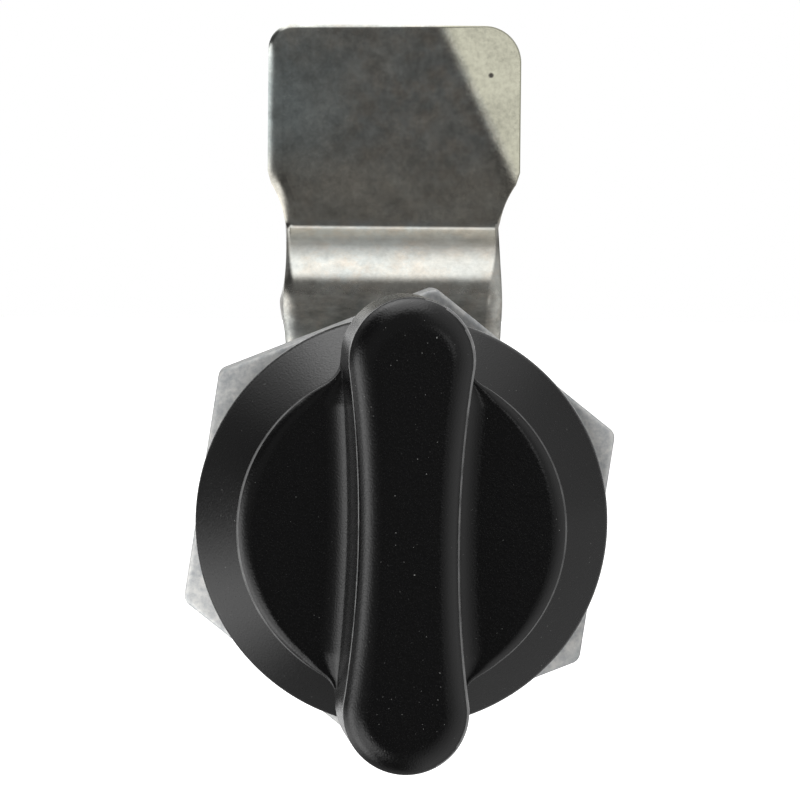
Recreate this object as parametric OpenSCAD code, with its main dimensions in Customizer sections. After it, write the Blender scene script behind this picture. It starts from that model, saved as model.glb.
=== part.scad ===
// Quarter-turn cam latch with a wing knob, for a cabinet door.
// Each piece is drawn along the lock's own axis: x to the right, y up along the cam, z out to the front.
// The panel's front face is z = 0 there. lock_frame() then stands the lock up, with its front towards -Y.

/* [Head] */
// Diameter of the round head that covers the hole in the panel
head_d = 28; // [26:0.5:34]
// Height of the straight rim around the head
rim_h = 1; // [0.7:0.1:2]
// Rounding between the rim and the cone
rim_r = 1.5; // [0.5:0.1:1.8]
// Height of the head's cone above the rim
cone_h = 4.7; // [3:0.1:6]
// Ring of the head's top face that shows around the knob's disc
head_land = 0.15; // [0.1:0.05:0.5]
// Thickness of the gasket under the head
gasket_t = 1.2; // [0.8:0.1:2]
// How far the gasket stays inside the head's edge
gasket_inset = 0.6; // [0.2:0.1:1]

/* [Barrel] */
// Outer diameter of the threaded barrel
thread_d = 22; // [20:0.5:24]
// Width across the barrel's two flats
flats_w = 20; // [18.5:0.1:21.5]
// Length of the barrel behind the panel's front face
barrel_l = 14.6; // [14:0.2:22]
// Chamfer at the barrel's back end
barrel_chamfer = 0.8; // [0.3:0.1:1]
// Bore that the spindle's drum turns in
bore_d = 16; // [15:0.2:17]
// Thickness of the wall that closes the barrel at the back
back_wall = 4; // [3:0.2:5]

/* [Fixing nut] */
// Thickness of the panel that the nut clamps
panel_t = 2.1; // [1:0.1:4]
// Width across the nut's flats
nut_w = 27.6; // [26:0.1:34]
// Thickness of the nut
nut_h = 5; // [3:0.2:6]
// Rounding of the nut's corners
nut_corner_r = 0.8; // [0.3:0.1:2]
// Turn of the nut, clockwise from a corner that points up
nut_turn = 7.5; // [0:0.5:60]

/* [Knob] */
// Diameter of the knob's disc
disc_d = 22; // [20:0.2:24]
// Height of the disc
disc_h = 1.4; // [1:0.1:2]
// Rounding of the disc's front edge
disc_r = 0.9; // [0.4:0.1:1]
// Length of the wing, over both ends
wing_l = 31.3; // [29:0.1:36]
// Width of the wing at its ends
wing_end_w = 8.2; // [7.6:0.1:10]
// Width of the wing at its waist
wing_waist_w = 6.3; // [5.6:0.1:7.2]
// Height of the wing above the disc
wing_h = 6.1; // [5:0.1:9]
// Height of the rounding along the wing's top
crown_h = 1.5; // [0.8:0.1:2]
// Width of that rounding at the waist
crown_waist = 1.6; // [1.2:0.1:2.4]
// Width of that rounding at the ends
crown_end = 1.7; // [1.2:0.1:3]
// Slope at which that rounding meets the wing's sides, in degrees
crown_a = 75; // [45:1:80]
// Slope of the wing's ends, in degrees
draft = 2; // [0.5:0.5:4]
// Slope of the wing's long sides, in degrees
side_draft = 6.5; // [2:0.5:9]
// Hollow rounding where the wing stands on the disc
root_r = 1.2; // [0.5:0.1:1.6]
// Rounding in plan between the wing's sides and the disc's edge
corner_r = 1.5; // [1:0.1:3]

/* [Spindle] */
// Diameter of the spindle where it passes through the barrel's back wall
journal_d = 12; // [11.4:0.2:12.8]
// Width of the square that carries the cam
square_w = 8; // [7.6:0.1:8.6]
// Thickness of the tang that drives the knob
tang_t = 3.6; // [2.5:0.1:4]
// Length of the tang across the spindle
tang_l = 11; // [8:0.5:13]
// Height of the tang inside the knob
tang_h = 4.6; // [3:0.1:5.2]
// Thickness of the sealing ring's section
seal_t = 1.4; // [1:0.1:1.8]
// Depth of the sealing ring's middle below the head's top face
seal_depth = 4.6; // [3:0.1:8]
// Turn of the knob between its stops, in degrees
turn = 90; // [60:5:180]
// Width of the spindle's stop lug, in degrees
lug_a = 110; // [60:5:150]
// Height of the stop lug
stop_h = 2.5; // [1.5:0.1:4]
// Width of the ledge around the stop pocket, under the drum's end
stop_ledge = 0.5; // [0.3:0.1:0.8]

/* [Wave washer and retaining ring] */
// Outer diameter of the wave washer
wave_d = 16.4; // [15.5:0.2:18]
// Thickness of its spring steel
wave_t = 0.3; // [0.2:0.05:0.5]
// Height over its waves
wave_h = 0.8; // [0.6:0.05:1.2]
// Thickness of the retaining ring
clip_t = 1; // [0.8:0.1:1.2]
// Radial width of the retaining ring
clip_w = 1.9; // [1.4:0.1:2.4]
// Depth of its groove in the spindle
clip_groove = 0.45; // [0.3:0.05:0.6]
// Diameter of the plier holes in its ends
clip_hole_d = 1.3; // [0.9:0.1:1.5]
// Part of the circle that it leaves open, in degrees
clip_open_a = 64; // [50:2:90]

/* [Cam] */
// Reach of the cam from the lock's axis to its tip
cam_reach = 34.3; // [30:0.1:60]
// Thickness of the cam
cam_t = 2.5; // [2:0.1:3.5]
// Width of the cam's tip
cam_tip_w = 18.3; // [17:0.1:22]
// Width of the cam's neck and round root
cam_neck_w = 15.5; // [14.5:0.1:16.5]
// Length of the wide tip along its straight sides
cam_tip_l = 11.2; // [8:0.1:12]
// Length of the hollow curves from the tip down to the neck
cam_shoulder_l = 4.4; // [2.5:0.1:5]
// Rounding of the tip's outer corners
cam_corner_r = 2.3; // [1:0.1:4]
// Step of the tip away from the panel
cam_crank = 4.4; // [2:0.1:6]
// Distance from the axis to where the crank starts
cam_crank_y = 14; // [13.5:0.1:15.5]
// Slope of the crank, in degrees
cam_crank_a = 47; // [35:1:60]
// Inside radius of the crank's two bends
cam_bend_r = 0.8; // [0.5:0.1:1.5]
// Swelling of the neck's edges beside the first bend, on each side
cam_swell = 0.5; // [0.1:0.1:0.6]

/* [Cam screw] */
// Thread diameter of the cam's screw
screw_d = 6; // [5:0.5:6]
// Length of the screw under its head
screw_l = 14; // [11:0.5:15]
// Width across the flats of the screw's head
screw_head_w = 10; // [8:0.5:11]
// Height of the screw's head
screw_head_h = 4; // [3:0.1:5]
// Outer diameter of the plain washer
washer_d = 16; // [14:0.5:18]
// Thickness of the plain washer
washer_t = 1.6; // [1:0.1:2]
// Outer diameter of the split spring washer
split_d = 11.6; // [10:0.2:13]
// Thickness of the split spring washer
split_t = 1.6; // [1:0.1:2]
// Width of the split
split_gap = 0.8; // [0.4:0.1:1.2]

/* [Clearances] */
// Gap all round where the spindle turns in the housing
run_gap = 0.05; // [0.02:0.01:0.08]
// Gap between the turning knob and the head
knob_gap = 0.2; // [0.15:0.05:0.4]
// Gap all round where one piece slips over another
slip_gap = 0.05; // [0.02:0.01:0.1]
// Gap along the axis beside a turning or springy piece
end_gap = 0.1; // [0.05:0.01:0.2]
// Play before the stop lug meets each stop, in degrees
stop_play = 1; // [0.5:0.1:2]
// How far the square ends inside the cam, so that the screw clamps the cam
clamp_gap = 0.2; // [0.1:0.05:0.4]

/* [Hidden] */
$fn = 96;
// Overlap that keeps a cut clear of the face it leaves through
cut = 1;

// Levels along the axis, from the front to the back
rim_z = gasket_t + rim_h;
head_z = rim_z + cone_h;
knob_z = head_z + knob_gap;
disc_z = knob_z + disc_h;
wing_z = disc_z + wing_h;
shoulder_z = wing_z - crown_h;
floor_z = -barrel_l + back_wall;
drum_z = floor_z + stop_h;
clip_z = -barrel_l - wave_h - 2 * end_gap;
clip_land = 0.6;
cam_z = clip_z - clip_t - 2 * end_gap - clip_land;
washer_z = cam_z - cam_t;
split_z = washer_z - washer_t;
screw_z = split_z - split_t;
nut_z = -panel_t;

// Radii that pieces share
head_top_r = disc_d / 2 + head_land;
drum_r = bore_d / 2 - run_gap;
pocket_r = bore_d / 2 - stop_ledge;
journal_r = journal_d / 2 - run_gap;
clip_groove_r = journal_r - clip_groove;
seal_floor_r = drum_r - seal_t + slip_gap;
seal_z = head_z - seal_depth;

// Stop angles: the lug points up at rest, in a pocket of the housing that leaves it the turn
lug_start = 90 - lug_a / 2;
stop_start = lug_start + lug_a + stop_play;
stop_a = 360 - lug_a - turn - 2 * stop_play;

// Shades of the finishes
coat = [0.05, 0.05, 0.055];
rubber = [0.09, 0.09, 0.09];
zinc = [0.72, 0.73, 0.74];
zinc_dull = [0.62, 0.62, 0.6];
spring_steel = [0.3, 0.29, 0.28];

// Points of an arc around c, from angle a0 to a1
function arc(c, r, a0, a1, n) =
    [for (i = [0:n]) c + r * [cos(a0 + (a1 - a0) * i / n), sin(a0 + (a1 - a0) * i / n)]];

// The same points mirrored to the left and run backwards, to close a symmetric outline
function mirrored(points) = [for (i = [len(points) - 1:-1:0]) [-points[i].x, points[i].y]];

module lock_frame() {
    rotate([90, 0, 0]) children();
}

module tube(r_out, r_in, z0, z1) {
    translate([0, 0, z0]) difference() {
        cylinder(r = r_out, h = z1 - z0);
        translate([0, 0, -cut]) cylinder(r = r_in, h = z1 - z0 + 2 * cut);
    }
}

module sector(r_out, r_in, z0, z1, start, sweep) {
    rotate([0, 0, start]) rotate_extrude(angle = sweep)
        translate([r_in, z0]) square([r_out - r_in, z1 - z0]);
}

// Half section of the head: flat back, straight rim, rounded edge and cone
function head_section() =
    let (
        r = head_d / 2,
        lean = atan2(r - head_top_r, cone_h),
        tangent = rim_r * tan(lean / 2),
        edge = 0.3
    )
    concat(
        [[0, gasket_t], [r - edge, gasket_t], [r, gasket_t + edge]],
        arc([r - rim_r, rim_z - tangent], rim_r, 0, lean, 5),
        [[head_top_r, head_z], [0, head_z]]
    );

module barrel() {
    intersection() {
        union() {
            translate([0, 0, -barrel_l + barrel_chamfer])
                cylinder(d = thread_d, h = barrel_l - barrel_chamfer + gasket_t);
            translate([0, 0, -barrel_l])
                cylinder(r1 = thread_d / 2 - barrel_chamfer, r2 = thread_d / 2, h = barrel_chamfer);
        }
        translate([-flats_w / 2, -thread_d, -barrel_l - cut])
            cube([flats_w, 2 * thread_d, barrel_l + gasket_t + 2 * cut]);
    }
}

module housing() {
    ledge_z = drum_z - end_gap;
    color(coat) lock_frame() difference() {
        union() {
            rotate_extrude() polygon(head_section());
            barrel();
        }
        translate([0, 0, ledge_z]) cylinder(d = bore_d, h = head_z - ledge_z + cut);
        translate([0, 0, -barrel_l - cut]) cylinder(d = journal_d, h = ledge_z + barrel_l + 2 * cut);
        sector(pocket_r, journal_d / 4, floor_z, ledge_z + cut, stop_start + stop_a, 360 - stop_a);
    }
}

module head_gasket() {
    color(rubber) lock_frame()
        tube(head_d / 2 - gasket_inset, thread_d / 2 + slip_gap, 0, gasket_t);
}

module fixing_nut() {
    // Distance from the axis to the middle of each corner's rounding
    corner = nut_w / sqrt(3) - nut_corner_r / cos(30);
    outline = [for (k = [0:5])
        let (a = 90 - nut_turn + 60 * k)
        each arc(corner * [cos(a), sin(a)], nut_corner_r, a - 30, a + 30, 6)];
    color(zinc_dull) lock_frame() translate([0, 0, nut_z - nut_h]) difference() {
        linear_extrude(nut_h) polygon(outline);
        translate([0, 0, -cut]) cylinder(r = thread_d / 2 + slip_gap, h = nut_h + 2 * cut);
    }
}

// The wing's outline is two end circles joined by long hollow sides that touch them
end_r = wing_end_w / 2;
end_y = wing_l / 2 - end_r;
waist_r = wing_waist_w / 2;
side_r = (waist_r * waist_r + end_y * end_y - end_r * end_r) / (2 * (end_r - waist_r));
side_x = waist_r + side_r;
side_a = atan2(end_y, side_x);
end_steps = 12;
side_steps = 12;

// Outward shift of the wing's walls at a level below its shoulder, by the way that they face
function slope_at(z, d) = (shoulder_z - z) * tan(draft + (side_draft - draft) * d.x * d.x);

// Point and outward direction on a quarter of the outline, from the tip round to the waist
function quarter_station(i) =
    i <= end_steps
        ? let (a = 90 - (90 + side_a) * i / end_steps, d = [cos(a), sin(a)])
            [[0, end_y] + end_r * d, d]
        : let (a = side_a * (1 - (i - end_steps) / side_steps), d = [cos(a), -sin(a)])
            [[side_x, 0] - side_r * d, d];

// Centre of the plan rounding that touches both the disc and the foot of the wing's end
foot_r = end_r + slope_at(knob_z, [1, 0]) + corner_r;
rim_to_corner = disc_d / 2 + corner_r;
corner_y = (pow(rim_to_corner, 2) - pow(foot_r, 2) + end_y * end_y) / (2 * end_y);
corner_c = [sqrt(pow(rim_to_corner, 2) - corner_y * corner_y), corner_y];

// Distance along a station's direction to the disc's edge, or nothing where the wing overhangs it
function to_disc(p, d) =
    let (along = p * d, inside = pow(disc_d / 2, 2) - p * p)
    inside > 0 ? sqrt(along * along + inside) - along : 0;

// Distance to the plan rounding, or nothing where the direction misses it
function to_corner(p, d) =
    let (
        m = p - corner_c,
        along = m * d,
        root = along * along - m * m + corner_r * corner_r,
        t = root > 0 ? -along - sqrt(root) : 0,
        hit = p + t * d,
        beside_disc = cross(corner_c, hit) >= 0,
        beside_end = cross(corner_c - [0, end_y], hit - [0, end_y]) <= 0
    )
    t > 0 && beside_disc && beside_end ? t : 0;

// Section of the knob at one station: distance out from the shoulder line, and height
function knob_section(p, d) =
    let (
        far = max(to_disc(p, d), to_corner(p, d), slope_at(knob_z, d)),
        share = min(1, (far - slope_at(disc_z, d)) / (root_r + disc_r)),
        root = root_r * share,
        edge = disc_r * share,
        crown = crown_waist + (crown_end - crown_waist) * pow(p.y / (wing_l / 2), 2),
        wall = slope_at(disc_z + root, d)
    )
    concat(
        [for (i = [0:6])
            let (a = crown_a * i / 6)
            [-crown * (1 - sin(a) / sin(crown_a)),
                shoulder_z + crown_h * (cos(a) - cos(crown_a)) / (1 - cos(crown_a))]],
        [for (a = [0:22.5:90]) [wall + root * (1 - cos(a)), disc_z + root * (1 - sin(a))]],
        [for (a = [0:22.5:90]) [far - edge * (1 - sin(a)), disc_z - edge * (1 - cos(a))]],
        [[far, knob_z]]
    );

function knob_quarter() =
    [for (i = [0:end_steps + side_steps])
        let (s = quarter_station(i))
        [for (q = knob_section(s[0], s[1])) [s[0].x + q[0] * s[1].x, s[0].y + q[0] * s[1].y, q[1]]]];

function flip(rows, fx, fy) = [for (row = rows) [for (p = row) [fx * p.x, fy * p.y, p.z]]];
function backwards(rows) = [for (i = [len(rows) - 1:-1:0]) rows[i]];
function without_last(rows) = [for (i = [0:len(rows) - 2]) rows[i]];

// Closed skin over a ring of stations, with a flat lid at each end of their sections
module skin(rows) {
    count = len(rows);
    depth = len(rows[0]);
    points = [for (row = rows) each row];
    sides = [for (i = [0:count - 1]) for (j = [0:depth - 2])
        let (
            a = i * depth + j,
            b = ((i + 1) % count) * depth + j
        )
        each [[a, a + 1, b], [b, a + 1, b + 1]]];
    top = [for (i = [0:count - 1]) i * depth];
    bottom = [for (i = [count - 1:-1:0]) i * depth + depth - 1];
    polyhedron(points, concat(sides, [top, bottom]), convexity = 6);
}

module wing_knob() {
    q = knob_quarter();
    rows = concat(
        without_last(q),
        without_last(backwards(flip(q, 1, -1))),
        without_last(flip(q, -1, -1)),
        without_last(backwards(flip(q, -1, 1)))
    );
    color(coat) lock_frame() difference() {
        skin(rows);
        translate([-tang_t / 2 - slip_gap, -tang_l / 2 - slip_gap, knob_z - cut])
            cube([tang_t + 2 * slip_gap, tang_l + 2 * slip_gap, tang_h + end_gap + cut]);
    }
}

module spindle() {
    groove_w = seal_t + 2 * end_gap;
    square_z = washer_z + clamp_gap;
    hole_top = screw_z + screw_l + cut;
    color(zinc) lock_frame() difference() {
        union() {
            translate([0, 0, drum_z]) cylinder(r = drum_r, h = knob_z - drum_z);
            translate([0, 0, cam_z]) cylinder(r = journal_r, h = drum_z - cam_z);
            translate([-tang_t / 2, -tang_l / 2, knob_z]) cube([tang_t, tang_l, tang_h]);
            sector(pocket_r - end_gap, journal_r / 2, floor_z + end_gap, drum_z + cut, lug_start, lug_a);
            intersection() {
                translate([-square_w / 2, -square_w / 2, square_z])
                    cube([square_w, square_w, cam_z - square_z]);
                translate([0, 0, square_z - cut])
                    cylinder(r = journal_r - clip_groove, h = cam_z - square_z + 2 * cut);
            }
        }
        tube(drum_r + cut, seal_floor_r, seal_z - groove_w / 2, seal_z + groove_w / 2);
        tube(journal_r + cut, clip_groove_r, clip_z - clip_t - end_gap, clip_z + end_gap);
        translate([0, 0, square_z - cut])
            cylinder(r = screw_d / 2 + slip_gap, h = hole_top - square_z + cut);
    }
}

module seal_ring() {
    section_r = seal_t / 2 - slip_gap;
    color(rubber) lock_frame() translate([0, 0, seal_z]) rotate_extrude()
        translate([seal_floor_r + slip_gap + section_r, 0]) circle(r = section_r, $fn = 32);
}

// Ring of thin spring steel that rises and falls three times around
module wave_washer() {
    waves = 3;
    steps = 72;
    r_in = journal_d / 2 + 2 * slip_gap;
    r_out = wave_d / 2;
    swing = (wave_h - wave_t) / 2;
    middle = -barrel_l - end_gap - wave_h / 2;
    rows = [for (i = [0:steps - 1])
        let (a = 90 - 360 * i / steps, z = middle + swing * cos(waves * a), d = [cos(a), sin(a)])
        [
            [r_in * d.x, r_in * d.y, z - wave_t / 2],
            [r_in * d.x, r_in * d.y, z + wave_t / 2],
            [r_out * d.x, r_out * d.y, z + wave_t / 2],
            [r_out * d.x, r_out * d.y, z - wave_t / 2]
        ]];
    faces = [for (i = [0:steps - 1]) for (j = [0:3])
        let (
            a = i * 4 + j,
            b = i * 4 + (j + 1) % 4,
            c = ((i + 1) % steps) * 4 + j,
            d = ((i + 1) % steps) * 4 + (j + 1) % 4
        )
        each [[a, b, c], [c, b, d]]];
    color(spring_steel) lock_frame() polyhedron([for (row = rows) each row], faces, convexity = 6);
}

module retaining_ring() {
    r_in = clip_groove_r + slip_gap;
    r_out = r_in + clip_w;
    lug_r = clip_hole_d / 2 + 0.7;
    start = clip_open_a / 2 - 90;
    color(spring_steel) lock_frame() difference() {
        union() {
            sector(r_out, r_in, clip_z - clip_t, clip_z, start, 360 - clip_open_a);
            for (side = [-1, 1])
                rotate([0, 0, -90 + side * clip_open_a / 2])
                    translate([r_in + lug_r, 0, clip_z - clip_t]) cylinder(r = lug_r, h = clip_t);
        }
        for (side = [-1, 1])
            rotate([0, 0, -90 + side * clip_open_a / 2])
                translate([r_in + lug_r, 0, clip_z - clip_t - cut])
                    cylinder(d = clip_hole_d, h = clip_t + 2 * cut, $fn = 24);
    }
}

// The crank: both bends turn the plate by the same angle, with a straight slope between them
bend_out_r = cam_bend_r + cam_t;
crank_drop = (bend_out_r + cam_bend_r) * (1 - cos(cam_crank_a));
crank_slope = (cam_crank - crank_drop) / sin(cam_crank_a);
crank_run = (bend_out_r + cam_bend_r) * sin(cam_crank_a) + crank_slope * cos(cam_crank_a);
tip_y = cam_crank_y + crank_run;

// Side view of the cam: distance from the axis, and level from the root's front face
function cam_section() =
    let (
        first = [cam_crank_y, -bend_out_r],
        second = [tip_y, cam_bend_r - cam_crank],
        steps = 10
    )
    concat(
        [[-cam_neck_w, 0]],
        arc(first, bend_out_r, 90, 90 - cam_crank_a, steps),
        arc(second, cam_bend_r, 270 - cam_crank_a, 270, steps),
        [[cam_reach + cut, -cam_crank], [cam_reach + cut, -cam_crank - cam_t]],
        arc(second, bend_out_r, 270, 270 - cam_crank_a, steps),
        arc(first, cam_bend_r, 90 - cam_crank_a, 90, steps),
        [[-cam_neck_w, -cam_t]]
    );

// Right half of the cam seen from the front, from its round root up to its tip
function cam_half() =
    let (
        neck = cam_neck_w / 2,
        tip = cam_tip_w / 2,
        tip_foot = cam_reach - cam_tip_l,
        step = tip - neck,
        hollow_r = (step * step + cam_shoulder_l * cam_shoulder_l) / (2 * step),
        hollow_a = asin(cam_shoulder_l / hollow_r),
        swell_l = 2.6,
        swell_r = (swell_l * swell_l + cam_swell * cam_swell) / (2 * cam_swell),
        swell_a = asin(swell_l / swell_r)
    )
    concat(
        arc([0, 0], neck, -90, 0, 18),
        arc([neck + cam_swell - swell_r, cam_crank_y], swell_r, -swell_a, swell_a, 8),
        arc([neck + hollow_r, tip_foot - cam_shoulder_l], hollow_r, 180, 180 - hollow_a, 8),
        arc([tip - cam_corner_r, cam_reach - cam_corner_r], cam_corner_r, 0, 90, 8)
    );

module cam() {
    half = cam_half();
    hole = square_w + 2 * slip_gap;
    depth = cam_crank + cam_t + 2 * cut;
    color(zinc) lock_frame() translate([0, 0, cam_z]) difference() {
        intersection() {
            rotate([90, 0, 90]) translate([0, 0, -cam_tip_w])
                linear_extrude(2 * cam_tip_w) polygon(cam_section());
            translate([0, 0, cut - depth])
                linear_extrude(depth) polygon(concat(half, mirrored(half)));
        }
        translate([-hole / 2, -hole / 2, -cam_t - cut]) cube([hole, hole, cam_t + 2 * cut]);
    }
}

module cam_washer() {
    color(zinc) lock_frame()
        tube(washer_d / 2, screw_d / 2 + slip_gap, split_z, washer_z);
}

module spring_washer() {
    color(zinc) lock_frame() difference() {
        tube(split_d / 2, screw_d / 2 + slip_gap, screw_z, split_z);
        translate([0, -split_d / 2, (screw_z + split_z) / 2]) rotate([0, 25, 0])
            cube([split_gap, split_d, 3 * split_t], center = true);
    }
}

module cam_screw() {
    color(zinc) lock_frame() {
        translate([0, 0, screw_z - screw_head_h])
            cylinder(d = screw_head_w / cos(30), h = screw_head_h, $fn = 6);
        translate([0, 0, screw_z]) cylinder(d = screw_d, h = screw_l);
    }
}

housing();
head_gasket();
fixing_nut();
wing_knob();
spindle();
seal_ring();
wave_washer();
retaining_ring();
cam();
cam_washer();
spring_washer();
cam_screw();
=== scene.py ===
"""Quarter-turn cam latch with a wing knob: the looks of every piece, built around its fixed frame.

Lengths are in metres. The lock's axis runs along Y, with the knob towards -Y and the cam up along +Z.
"""

import math

import bmesh
import bpy
import numpy as np
from bpy.props import FloatProperty, FloatVectorProperty, PointerProperty
from bpy.types import Operator, Panel, PropertyGroup
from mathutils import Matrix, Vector


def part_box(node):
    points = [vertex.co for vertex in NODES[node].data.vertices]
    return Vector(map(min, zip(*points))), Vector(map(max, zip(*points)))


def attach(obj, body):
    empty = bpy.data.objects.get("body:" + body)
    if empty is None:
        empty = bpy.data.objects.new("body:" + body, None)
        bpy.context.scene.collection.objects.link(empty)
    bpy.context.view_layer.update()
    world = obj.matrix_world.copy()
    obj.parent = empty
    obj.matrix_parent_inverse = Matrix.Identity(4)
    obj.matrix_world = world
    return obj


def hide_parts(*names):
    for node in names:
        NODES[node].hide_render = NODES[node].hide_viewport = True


bl_info = {
    "name": "Cam latch with a wing knob",
    "version": (1, 0, 0),
    "blender": (4, 5, 0),
    "location": "3D View > Sidebar > Latch",
    "description": "Builds the pieces of a quarter-turn cam latch, their finishes and a plain studio",
    "category": "Object",
}

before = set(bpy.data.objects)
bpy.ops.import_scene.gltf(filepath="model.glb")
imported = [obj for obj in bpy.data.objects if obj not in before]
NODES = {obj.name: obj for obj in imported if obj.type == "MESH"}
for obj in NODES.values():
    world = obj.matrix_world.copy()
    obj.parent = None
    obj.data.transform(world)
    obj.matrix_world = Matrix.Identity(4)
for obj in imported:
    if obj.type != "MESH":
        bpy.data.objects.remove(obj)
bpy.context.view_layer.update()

MM = 0.001
FIXED_BODY = "housing"
TURNING_BODY = "knob"
IMAGE_SIDE = 800
UP, DOWN = (0.0, 0.0, 1.0), (0.0, 0.0, -1.0)
LEFT, FORWARD = (-1.0, 0.0, 0.0), (0.0, -1.0, 0.0)


def depth_span(node):
    """Levels of a node along the lock's axis, counted out to the front: back, front."""
    low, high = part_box(node)
    return -high.y, -low.y


def width_of(node):
    """Width of a node along X."""
    low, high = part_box(node)
    return high.x - low.x


GASKET_BACK, GASKET_FRONT = depth_span("head_gasket")
BARREL_BACK, HEAD_FRONT = depth_span("housing")
NUT_BACK, NUT_FRONT = depth_span("fixing_nut")
KNOB_BACK, KNOB_FRONT = depth_span("wing_knob")
CAM_FRONT = depth_span("cam")[1]
WASHER_BACK, WASHER_FRONT = depth_span("cam_washer")
SPLIT_BACK, SPLIT_FRONT = depth_span("spring_washer")
SCREW_BACK, SCREW_FRONT = depth_span("cam_screw")


def length(name, default, description):
    """A size in metres that a user may change."""
    return FloatProperty(
        name=name, description=description, default=default, min=0.0, unit="LENGTH", precision=5
    )


def angle(name, degrees, description):
    """An angle that a user may change."""
    return FloatProperty(
        name=name, description=description, default=math.radians(degrees), subtype="ANGLE"
    )


def colour(name, default, description):
    """A colour that a user may change."""
    return FloatVectorProperty(
        name=name, description=description, default=default, size=3, min=0.0, max=1.0, subtype="COLOR"
    )


class KnobSizes(PropertyGroup):
    """Sizes of the wing knob."""

    disc: length("Disc", width_of("wing_knob"), "Diameter of the knob's disc")
    disc_height: length("Disc height", 1.4 * MM, "Height of the disc's edge")
    disc_edge: length("Disc edge", 1.2 * MM, "Width of the rounding of the disc's front edge")
    disc_slope: angle("Disc slope", 60.0, "Slope at which that rounding ends")
    wing_length: length("Wing length", 31.3 * MM, "Length of the wing over both ends")
    end_width: length("End width", 8.3 * MM, "Width of the wing near its ends")
    waist: length("Waist", 6.65 * MM, "Width of the wing in its middle")
    crown_height: length("Crown height", 1.5 * MM, "Height of the rounding along the wing's top")
    crown_waist: length("Crown at the waist", 1.6 * MM, "Width of that rounding at the waist")
    crown_end: length("Crown at the ends", 2.1 * MM, "Width of that rounding at the ends")
    crown_slope: angle("Crown slope", 78.0, "Slope at which that rounding meets the wing's sides")
    draft: angle("End draft", 0.3, "Slope of the wing's ends")
    left_draft: angle("Left draft", 5.2, "Slope of the wing's long left side")
    right_draft: angle("Right draft", 2.8, "Slope of the wing's long right side")
    root: length("Root rounding", 1.6 * MM, "Width of the hollow where the wing stands on the disc")
    root_slope: angle("Root slope", 55.0, "Slope at which that hollow meets the wing's sides")
    root_room: length("Root room", 3.6 * MM, "Room beside the wing under which that hollow gets narrower")
    corner: length("Corner rounding", 1.9 * MM, "Rounding in plan between wing and disc")
    edge: length("Shoulder edge", 0.2 * MM, "Rounding of the edge along the wing's shoulder")
    play: angle("Play", 0.5, "Turn of the knob on its tang, clockwise")
    lean: angle("Lean", 3.3, "Lean of the wing to the right, about the end of the tang")
    tang_width: length("Socket width", 3.7 * MM, "Width of the socket for the spindle's tang")
    tang_length: length("Socket length", 11.1 * MM, "Length of that socket")
    tang_height: length("Socket height", 4.7 * MM, "Depth of that socket")


class HousingSizes(PropertyGroup):
    """Sizes of the head, barrel and gasket."""

    head: length("Head", width_of("housing"), "Diameter of the round head")
    rim_height: length("Rim height", 0.75 * MM, "Height of the straight rim")
    rim_round: length("Rim rounding", 1.5 * MM, "Rounding between the rim and the cone")
    tuck: length("Tuck", 0.23 * MM, "How far the head's top face stops short of the disc's edge")
    thread: length("Thread", 22.0 * MM, "Outer diameter of the barrel's thread")
    pitch: length("Pitch", 1.5 * MM, "Pitch of the barrel's thread")
    thread_depth: length("Thread depth", 0.85 * MM, "Depth of the barrel's thread")
    flats: length("Flats", 20.0 * MM, "Width across the barrel's two flats")
    bore: length("Bore", 16.0 * MM, "Bore for the spindle's drum")
    back_hole: length("Back hole", 12.0 * MM, "Hole in the barrel's back wall")
    back_wall: length("Back wall", 6.4 * MM, "Depth of the back hole below the drum")


class NutSizes(PropertyGroup):
    """Sizes of the fixing nut."""

    flats: length("Across flats", 27.6 * MM, "Width across the nut's flats")
    corner: length("Corner rounding", 0.8 * MM, "Rounding of the nut's corners")
    edge: length("Edge rounding", 0.35 * MM, "Rounding along the nut's faces")
    turn: angle("Turn", 8.4, "Turn of the nut, clockwise from a corner that points up")


class CamSizes(PropertyGroup):
    """Sizes of the cam and its screw."""

    reach: length("Reach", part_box("cam")[1].z, "Distance from the axis to the cam's tip")
    thickness: length("Thickness", 2.5 * MM, "Thickness of the cam's plate")
    tip_width: length("Tip width", width_of("cam"), "Width of the cam's tip")
    wider: length("Wider right side", 0.15 * MM, "Extra width of the tip's right half")
    neck_width: length("Neck width", 15.5 * MM, "Width of the cam's neck and round root")
    tip_length: length("Tip length", 11.2 * MM, "Length of the tip's straight sides")
    shoulder: length("Shoulder", 4.4 * MM, "Length of the hollow curves below the tip")
    corner: length("Right corner", 2.7 * MM, "Rounding of the tip's right corner")
    left_corner: length("Left corner", 1.8 * MM, "Rounding of the tip's left corner")
    crank: length("Crank", 4.4 * MM, "Step of the tip away from the panel")
    crank_start: length("Crank start", 14.0 * MM, "Distance from the axis to the crank")
    crank_angle: angle("Crank angle", 47.0, "Slope of the crank")
    bend: length("Bend", 0.8 * MM, "Inside radius of the crank's bends")
    swell: length("Swell", 0.5 * MM, "Swelling of the neck's edges beside the first bend")
    edge: length("Edge", 1.2 * MM, "Width over which the front rolls over to the sheared edges")
    right_edge: length("Right edge", 0.1 * MM, "That width on the right, from past the crank up to the tip")
    root_edge: length("Root edge", 1.3 * MM, "That width beside the first bend")
    edge_slope: angle("Edge slope", 40.0, "Slope at which the front meets the sheared edges")
    root_slope: angle("Root slope", 60.0, "That slope beside the first bend and along the top")
    back_edge: length("Back edge", 0.3 * MM, "Rounding of the edges at the back")
    hole: length("Square hole", 8.1 * MM, "Width of the square hole for the spindle")
    screw_flats: length("Screw head", 10.0 * MM, "Width across the flats of the screw's head")
    screw_hole: length("Washer hole", 6.1 * MM, "Hole of the washers")


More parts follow.
